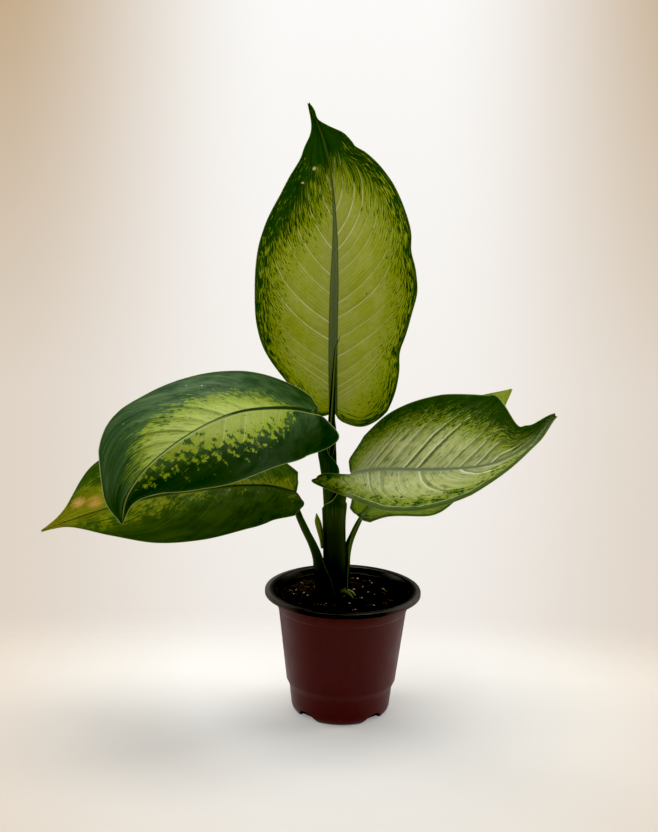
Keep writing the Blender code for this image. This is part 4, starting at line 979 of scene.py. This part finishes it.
pot = {
    "sides": 144,
    "rimRadius": 60.0, "rimTop": 98.6, "lipDepth": 3.4, "flangeInner": 53.6, "sheet": 1.0,
    # radius and height down the outside: collar, step line, tapering wall, step, lower band
    "outside": [(50.4, 93.8), (50.3, 91.5), (50.05, 85.0), (49.75, 84.3), (49.3, 83.9), (49.2, 83.2),
                (46.9, 64.5), (44.6, 45.5), (42.5, 28.2), (42.3, 26.6), (41.6, 25.2), (40.0, 21.6),
                (39.7, 20.4), (39.1, 14.5), (38.4, 8.6)],
    "baseRadius": 32.5, "cornerHeight": 9,
    "notchCount": 4, "notchFirst": 45.0, "notchRadius": 11.5, "notchCentre": -4.2, "notchInner": 29.0,
    "notchOuter": 44.7, "notchTop": 8,
}


def potProfile(settings):
    # radius and height from the underside up the outside, over the rim and down the inside
    sheet, top, rim, inner, base = (settings[key] for key in (
        "sheet", "rimTop", "rimRadius", "flangeInner", "baseRadius"))
    lip = top - settings["lipDepth"]
    last = settings["outside"][-1]
    corner = [(base + (last[0] - base) * math.cos(a), last[1] * (1 - math.sin(a)))
              for a in np.radians([18, 36, 54, 72])]
    wall = settings["outside"]
    inside = [(r - sheet, z + 0.3 * sheet) for r, z in wall]
    inside += [(r - 0.8 * sheet, z + 0.8 * sheet) for r, z in corner] + [(base, sheet)]
    edge = [(inner + 0.6, top - sheet), (rim - sheet, top - sheet), (rim - sheet, lip), (rim - 0.15, lip),
            (rim, lip + 0.2), (rim, top - 1.0), (rim - 0.3, top - 0.35), (rim - 1.0, top),
            (rim - 3.5, top - 0.05), (inner + 2.2, top), (inner + 1.1, top - 0.1), (inner + 0.3, top - 0.5),
            (inner, top - 1.2)]
    return [(base, 0)] + (wall + corner)[::-1] + edge + inside


def buildPot(settings, outer, core):
    (radius, height), *rest = potProfile(settings)
    bpy.ops.mesh.primitive_circle_add(vertices=settings["sides"], radius=radius * mm, fill_type="NGON",
                                      location=(0, 0, height * mm))
    piece = bpy.context.object
    piece.name = "pot_fine"
    bpy.ops.object.mode_set(mode="EDIT")
    bpy.ops.mesh.select_mode(type="EDGE")
    bpy.ops.mesh.select_all(action="SELECT")
    for nextRadius, nextHeight in rest:
        bpy.ops.mesh.extrude_edges_move(TRANSFORM_OT_translate={"value": (0, 0, (nextHeight - height) * mm)})
        bpy.ops.transform.resize(value=(nextRadius / radius, nextRadius / radius, 1))
        radius, height = nextRadius, nextHeight
    bpy.ops.mesh.edge_face_add()
    bpy.ops.mesh.select_all(action="SELECT")
    bpy.ops.mesh.normals_make_consistent(inside=False)
    bpy.ops.object.mode_set(mode="OBJECT")
    cutters = []
    length = settings["notchOuter"] - settings["notchInner"]
    middle = settings["notchInner"] + length / 2
    for index in range(settings["notchCount"]):
        azimuth = math.radians(settings["notchFirst"] + 360 / settings["notchCount"] * index)
        x, y = math.cos(azimuth) * middle, math.sin(azimuth) * middle
        bpy.ops.mesh.primitive_cylinder_add(
            vertices=64, radius=settings["notchRadius"] * mm, depth=length * mm,
            location=(x * mm, y * mm, settings["notchCentre"] * mm), rotation=(0, math.radians(90), azimuth))
        cutters.append(bpy.context.object)
        piece.modifiers.new("Notch", "BOOLEAN").object = bpy.context.object
    applyAll(piece)
    for cutter in cutters:
        bpy.data.objects.remove(cutter, do_unlink=True)
    dress(piece, "pot", [outer, core], 35)
    # the sheet is black with a burgundy coat on the outside, below the lip's black edge
    for face in piece.data.polygons:
        middle = face.center / mm
        reach = math.hypot(middle.x, middle.y)
        outward = (face.normal.x * middle.x + face.normal.y * middle.y) / max(reach, 1)
        wall = outward > 0.3 and middle.z < settings["rimTop"] - settings["lipDepth"]
        corner = (middle.z < settings["cornerHeight"] and face.normal.z < 0.2 and outward > -0.2
                  and reach > settings["baseRadius"] - 2)
        notch = middle.z < settings["notchTop"] and abs(face.normal.z) < 0.999 and outward < 0.2
        face.material_index = 0 if (wall or corner) and not notch else 1


def plasticMaterial(name, deep, worn, dusty, roughness, shine, sheen, sheenColour, sides):
    # thermoformed polystyrene sheet: thin, slightly glossy, with faint draw lines, rubbed dust and stuck soil
    # specks, and a painted grey sheen on the left and the right of the lip, where side lamps would shine on
    # it
    material, add = newMaterial(name)
    coords = add("TexCoord", out="Object")
    clouds = add("TexNoise", {"Vector": coords, "Scale": 45.0, "Detail": 5.0, "Roughness": 0.65})
    lines = drawnNoise(add, coords, (420, 420, 30), 3.0)
    specks = add("TexVoronoi", {"Vector": coords, "Scale": 160.0})
    chosen = add("TexNoise", {"Vector": coords, "Scale": 70.0, "Detail": 0.0})
    # painted sheen: grey on the outer lip at its left and right, as strong as sides says
    beside = add("SeparateXYZ", {0: coords})
    beside = add("Math", {0: beside}, operation="ABSOLUTE")
    reach = add("Mapping", {0: coords, "Scale": (1, 1, 0)})
    reach = add("VectorMath", {0: reach}, out="Value", operation="LENGTH")
    wear, rub, dust, some, beside, high, gloss = (add("MapRange", ranges) for ranges in (
        {0: clouds, 1: 0.45, 2: 0.75, 3: 0.0, 4: 0.6}, {0: lines, 1: 0.55, 2: 0.8, 3: 0.0, 4: 0.35},
        {0: specks, 1: 0.16, 2: 0.06}, {0: chosen, 1: 0.6, 2: 0.64},
        {0: beside, 1: 0.03, 2: 0.06, 3: 0.0, 4: sides}, {0: reach, 1: 0.0555, 2: 0.0575},
        {0: clouds, 1: 0.3, 2: 0.7, 3: roughness - 0.07, 4: roughness + 0.1}))
    dust = add("Math", {0: dust, 1: some}, operation="MULTIPLY")
    beside = add("Math", {0: beside, 1: high}, operation="MULTIPLY")
    colour = paint(add, deep, [(wear, worn), (rub, worn), (dust, dusty), (beside, sheenColour)])
    height = add("Math", {0: lines, 1: 0.5, 2: dust}, operation="MULTIPLY_ADD")
    return coat(material, colour, gloss, height, 0.25, 0.0004, {
        "Specular IOR Level": shine, "Sheen Weight": sheen, "Sheen Roughness": 0.35, "Sheen Tint": sheenColour})


# the last two values: the sheen's colour, and the strength of the painted sheen on the lip's left and right
buildPot(pot,
         plasticMaterial("burgundy_polystyrene", "#430B10", "#4E1419", "#220A0A", 0.42, 0.24, 0.07,
                         "#E08C80", 0.0),
         plasticMaterial("black_polystyrene", "#040404", "#080808", "#3A332B", 0.36, 0.14, 0.0,
                         "#67625E", 0.8))
print("pot done")


# Potting mix

mix = {
    "level": 91.5, "relief": 0.7, "mound": 1.0, "moundWidth": 22, "moundCentre": (-7.6, 0.4),
    "topRadius": 48.9, "sides": 240, "rings": 74,
    # the hole round the stem: middle, heights down its wall, and how near the mix comes to the cane
    "hole": (-6.5, 0.5), "holeLevels": (44, 60, 76, 86), "caneReach": 9.6,
    # feet of the two lower sheaths: azimuth of the back, degrees each way, thickness in the middle
    "sheathFeet": ((187, 66, 92, 4.5), (25, 27, 74, 2.4)), "footEdge": 1.3,
    "lumps": [(6.0, 1.0), (2.2, 0.75), (0.9, 0.3)],   # size and height of the crumb relief
    # radius and height down the side, inside the pot's wall
    "side": [(48.6, 88.0), (48.3, 84.0), (47.6, 80.0), (45.0, 58.0), (42.0, 33.0), (40.9, 27.0), (38.2, 21.0),
             (37.6, 15.0), (36.8, 9.0), (34.5, 3.5), (31.5, 1.5)],
    # how many, how clear of the stem, how far out, and their sizes
    "crumbs": (620, 0.4, 47.6, (0.45, 1.5)), "perlite": (34, 0.6, 46.5, (0.4, 1.05)),
    "fibres": (22, 3.0, 44.0, (1.6, 4.5)), "fibreReach": 47.5,
}


def stemReach(azimuth):
    # how near the mix comes to the stem: just outside the cane and the feet of the two lower sheaths
    reach = mix["caneReach"]
    thin = mix["footEdge"]
    for back, clockwise, counter, middle in mix["sheathFeet"]:
        turn = (azimuth - back + 180) % 360 - 180
        wrap = (clockwise if turn < 0 else counter) + 6
        if abs(turn) < wrap:
            lens = math.cos(min(abs(turn) / wrap, 1) * math.pi / 2) ** 2
            foot = (thin + (middle - thin) * lens + 0.6) * min((wrap - abs(turn)) / 8, 1)
            reach = max(reach, mix["caneReach"] + foot)
    return reach


def mixHeight(x, y):
    away = math.hypot(x - mix["moundCentre"][0], y - mix["moundCentre"][1])
    waves = math.sin(0.31 * x + 0.9) * math.cos(0.27 * y) + 0.6 * math.sin(0.52 * y - 0.35 * x + 2)
    height = mix["level"] + mix["relief"] * waves
    height += mix["mound"] * math.exp(-((away / mix["moundWidth"]) ** 2))
    for size, lift in mix["lumps"]:
        height += lift * noise.noise(Vector((x / size, y / size, size)))
    return height


def buildMix(material):
    angles = np.linspace(0, 2 * math.pi, mix["sides"] + 1)
    reaches = np.array([stemReach(math.degrees(angle)) for angle in angles])
    shape = [levelRing(*mix["hole"], level, reaches, angles) for level in mix["holeLevels"]]
    feet, rim = shape[0][:, :2], mix["topRadius"] * np.stack([np.cos(angles), np.sin(angles)], axis=-1)
    for share in np.linspace(0, 1, mix["rings"] + 1):
        shape.append(np.array([(x, y, mixHeight(x, y)) for x, y in (1 - share) * feet + share * rim]))
    shape += [levelRing(0, 0, level, radius, angles) for radius, level in mix["side"]]
    dress(tubeOf("potting_mix_fine", shape), "potting_mix", [material])


def scatter(draw, count, nearest, farthest, sizes):
    # places on the mix, clear of the stem
    left, front = mix["hole"]
    spots = []
    while len(spots) < count:
        reach = math.sqrt(draw.uniform(0, 1)) * farthest
        angle = draw.uniform(0, 2 * math.pi)
        x, y = reach * math.cos(angle), reach * math.sin(angle)
        turn = math.degrees(math.atan2(y - front, x - left)) % 360
        size = draw.uniform(*sizes)
        if math.hypot(x - left, y - front) >= stemReach(turn) + size + nearest:
            spots.append((x, y, size))
    return spots


def lumpMesh(subdivisions, rough, seed):
    # one uneven lump of unit size, which the copies turn and scale
    bpy.ops.mesh.primitive_ico_sphere_add(subdivisions=subdivisions, radius=1)
    lump = bpy.context.object
    for vertex in lump.data.vertices:
        wave = noise.noise(vertex.co * 1.7 + Vector((seed, 0, 0)))
        wave += 0.5 * noise.noise(vertex.co * 4 + Vector((0, seed, 0)))
        vertex.co *= 1 + rough * wave
    return lump


def buildGrains(name, lumps, spots, draw, flat, sink, material):
    # copies of the lumps at the spots, flattened, and sunk by a share of their size
    made = []
    for x, y, size in spots:
        lump = draw.choice(lumps)
        grain = lump.copy()
        grain.data = lump.data.copy()
        bpy.context.collection.objects.link(grain)
        turn = Matrix.Rotation(draw.uniform(0, 6.28), 4, "Z")
        turn = turn @ Matrix.Rotation(draw.uniform(-0.6, 0.6), 4, "X")
        wide, deep, high = draw.uniform(0.8, 1.3), draw.uniform(0.7, 1.1), flat * draw.uniform(0.8, 1.2)
        stretch = Matrix.Diagonal((wide, deep, high, 1))
        spot = Matrix.Translation((x * mm, y * mm, (mixHeight(x, y) - sink * size) * mm))
        grain.data.transform(spot @ turn @ stretch @ Matrix.Scale(size * mm, 4))
        made.append(grain)
    for lump in lumps:
        bpy.data.objects.remove(lump, do_unlink=True)
    piece = join(made)
    piece.name = name
    dress(piece, "potting_mix", [material])


def buildFibres(draw, material):
    # curled strands that lie on the mix and lift in the middle
    tubes = []
    for x, y, length in scatter(draw, *mix["fibres"]):
        heading = draw.uniform(0, 2 * math.pi)
        bend = draw.uniform(0.8, 2.2) * draw.choice((-1, 1))
        line = []
        for step in np.linspace(-1, 1, 14):
            way = heading + bend * step
            px, py = x + length * step * math.cos(way), y + length * step * math.sin(way)
            if math.hypot(px, py) <= mix["fibreReach"]:
                line.append((px, py, mixHeight(px, py) + 0.35 + 0.8 * (1 - step * step)))
        if len(line) < 5:
            continue
        radii = draw.uniform(0.14, 0.26) * np.sin(np.linspace(0.35, math.pi - 0.35, len(line))) ** 0.5
        tubes.append(tubeOf("fibre", ringsRound(np.array(line), radii, 7)))
    piece = join(tubes)
    piece.name = "bark_fibres"
    dress(piece, "potting_mix", [material])


def earthMaterial(name, colours, size, roughness, depth):
    # peat, perlite or fibre: matt, broken up at the given grain size in mm
    material, add = newMaterial(name)
    coords = add("TexCoord", out="Object")
    broad = add("TexNoise", {"Vector": coords, "Scale": 1 / (size * mm), "Detail": 5.0, "Roughness": 0.7})
    fine = add("TexVoronoi", {"Vector": coords, "Scale": 2.2 / (size * mm)})
    height = add("Math", {0: fine, 1: 0.6, 2: broad}, operation="MULTIPLY_ADD")
    return coat(material, rampOf(add, broad, (0.3, 0.52, 0.72), colours), roughness, height, 0.8, depth,
                {"Specular IOR Level": 0.15})


mixDraw = random.Random(7)
peat = earthMaterial("peat", ("#0B0908", "#17120F", "#2C231B"), 1.6, 0.92, 0.0012)
perlite = earthMaterial("perlite", ("#7C786C", "#A8A498", "#CFCBC0"), 0.9, 0.85, 0.0006)
buildMix(peat)
crumbLumps = [lumpMesh(2, 0.5, seed) for seed in (1, 2, 3)]
buildGrains("peat_crumbs", crumbLumps, scatter(mixDraw, *mix["crumbs"]), mixDraw, 0.7, 0.1, peat)
perliteLumps = [lumpMesh(3, 0.35, seed) for seed in (4, 5, 6)]
buildGrains("perlite_grains", perliteLumps, scatter(mixDraw, *mix["perlite"]), mixDraw, 0.75, 0.05, perlite)
buildFibres(mixDraw, earthMaterial("bark_fibre", ("#453D2C", "#6A604A", "#928870"), 0.8, 0.8, 0.0003))
print("potting mix done")


# Floor, light and camera

studio = {
    "floorSize": 9.0, "floorCentre": (0, -1.85, 0), "floorSolid": 1.92, "floorGone": 2.08,
    "floor": "#F5F5F3", "floorFar": "#C8AE8E", "floorGlow": 0.28,
    "lights": [  # name, place, size, power, colour
        ("top", (0.0, 0.35, 1.35), 1.1, 17, "#FFFCF7"),
        ("left", (-1.15, 0.15, 0.65), 0.8, 6.5, "#FFFAF2"),
        ("right", (1.15, 0.15, 0.65), 0.8, 6.5, "#FFFAF2"),
        ("front", (0.0, -1.4, 1.5), 1.0, 4.2, "#FFFCF7"),
    ],
    "aim": (0, 0, 0.22),
    "ambient": 0.16,
    "tan": "#C3A987", "white": "#FBFAF8",
}
camera = {
    "place": (0, -1.25, 0.531), "yaw": -0.623, "pitch": -13.333, "roll": 1.26,
    "focalPixels": 1708.2, "width": 658, "height": 832, "sensor": 36.0,
}


def buildFloor(settings):
    # matt paper floor, white round the pot and tan further off as painted falloff of the light, that ends
    # softly at the backdrop; it glows by a share of its colour, painted light that softens the shadows on it
    bpy.ops.mesh.primitive_plane_add(size=settings["floorSize"])
    floor = bpy.context.object
    floor.name = "floor"
    material, add = newMaterial("pale_paper")
    coords = add("TexCoord", out="Object")
    away = add("VectorMath", {0: coords, 1: settings["floorCentre"]}, out="Value", operation="DISTANCE")
    fade = add("MapRange", {0: away, 1: settings["floorSolid"], 2: settings["floorGone"], 3: 1.0, 4: 0.0},
               interpolation_type="SMOOTHSTEP")
    # painted falloff: the floor turns tan away from the pot
    tint = add("Mapping", {0: coords, "Scale": (1.6, 1, 1)})
    tint = add("VectorMath", {0: tint, 1: (0, 0.08, 0)}, out="Value", operation="DISTANCE")
    tint = add("MapRange", {0: tint, 1: 0.2, 2: 0.8})
    colour = paint(add, settings["floor"], [(tint, settings["floorFar"])])
    # painted light: the floor glows by a share of its colour, more towards its far edge
    glow = add("MapRange", {0: away, 1: 2.3, 2: 3.4, 3: settings["floorGlow"], 4: 0.7})
    fibres = add("TexNoise", {"Vector": coords, "Scale": 700.0, "Detail": 3.0})
    coat(material, paint(add, "#000000", [(0.66, colour)]), 0.9, fibres, 0.05, 0.0002, {
        "Alpha": fade, "Specular IOR Level": 0.1, "Emission Color": colour, "Emission Strength": glow})
    floor.data.materials.append(material)


def buildWorld(settings):
    # backdrop: white behind the plant and tan towards the upper corners; plain soft light otherwise
    world = bpy.data.worlds.new("studio")
    scene.world = world
    world.use_nodes = True
    add = functools.partial(addNode, world.node_tree)
    way = add("TexCoord", out="Generated")
    x, _, z = add("SeparateXYZ", {0: way}).node.outputs
    level = add("MapRange", {0: z, 1: -0.4, 2: 0.006})
    beside = add("Math", {0: x}, operation="ABSOLUTE")
    beside = add("MapRange", {0: beside, 1: 0.04, 2: 0.21}, interpolation_type="SMOOTHSTEP")
    middle = add("MapRange", {0: level, 3: 0.75, 4: 1.0})
    side = add("MapRange", {0: level, 1: 0.46, 2: 1.0, 3: 0.46, 4: 0.02})
    glow = add("Mix", {0: beside, 2: middle, 3: side}, data_type="FLOAT")
    seen = paint(add, settings["tan"], [(glow, settings["white"])])
    ray = add("LightPath", out="Is Camera Ray")
    strength = add("MapRange", {0: ray, 3: settings["ambient"], 4: 1.0})
    colour = paint(add, "#FFFAF4", [(ray, seen)])
    connect(world.node_tree.nodes["Background"], {"Color": colour, "Strength": strength})


def buildLights(settings):
    aim = Vector(settings["aim"])
    for name, spot, size, power, colour in settings["lights"]:
        light = bpy.data.lights.new(name, "AREA")
        light.shape = "DISK"
        light.size = size
        light.energy = power
        light.color = linear(colour)[:3]
        lamp = bpy.data.objects.new(name, light)
        scene.collection.objects.link(lamp)
        lamp.location = spot
        lamp.rotation_euler = (aim - lamp.location).to_track_quat("-Z", "Y").to_euler()


def buildCamera(settings):
    yaw, pitch, roll = (math.radians(settings[key]) for key in ("yaw", "pitch", "roll"))
    ahead = Vector((math.sin(yaw) * math.cos(pitch), math.cos(yaw) * math.cos(pitch), math.sin(pitch)))
    level = Vector((math.cos(yaw), -math.sin(yaw), 0))
    over = level.cross(ahead)
    right = math.cos(roll) * level + math.sin(roll) * over
    up = -math.sin(roll) * level + math.cos(roll) * over
    data = bpy.data.cameras.new("camera")
    data.sensor_width = settings["sensor"]
    data.lens = settings["focalPixels"] * settings["sensor"] / max(settings["width"], settings["height"])
    data.clip_end = 20
    eye = bpy.data.objects.new("camera", data)
    scene.collection.objects.link(eye)
    turn = Matrix((right, up, -ahead)).transposed().to_4x4()
    eye.matrix_world = Matrix.Translation(settings["place"]) @ turn
    scene.camera = eye


scene.view_settings.view_transform = "Standard"
# the photograph's deep blacks: a small black level
scene.view_settings.use_curve_mapping = True
scene.view_settings.curve_mapping.black_level = (0.010, 0.010, 0.011)
scene.view_settings.curve_mapping.update()
buildFloor(studio)
buildWorld(studio)
buildLights(studio)
buildCamera(camera)
print("stage done")
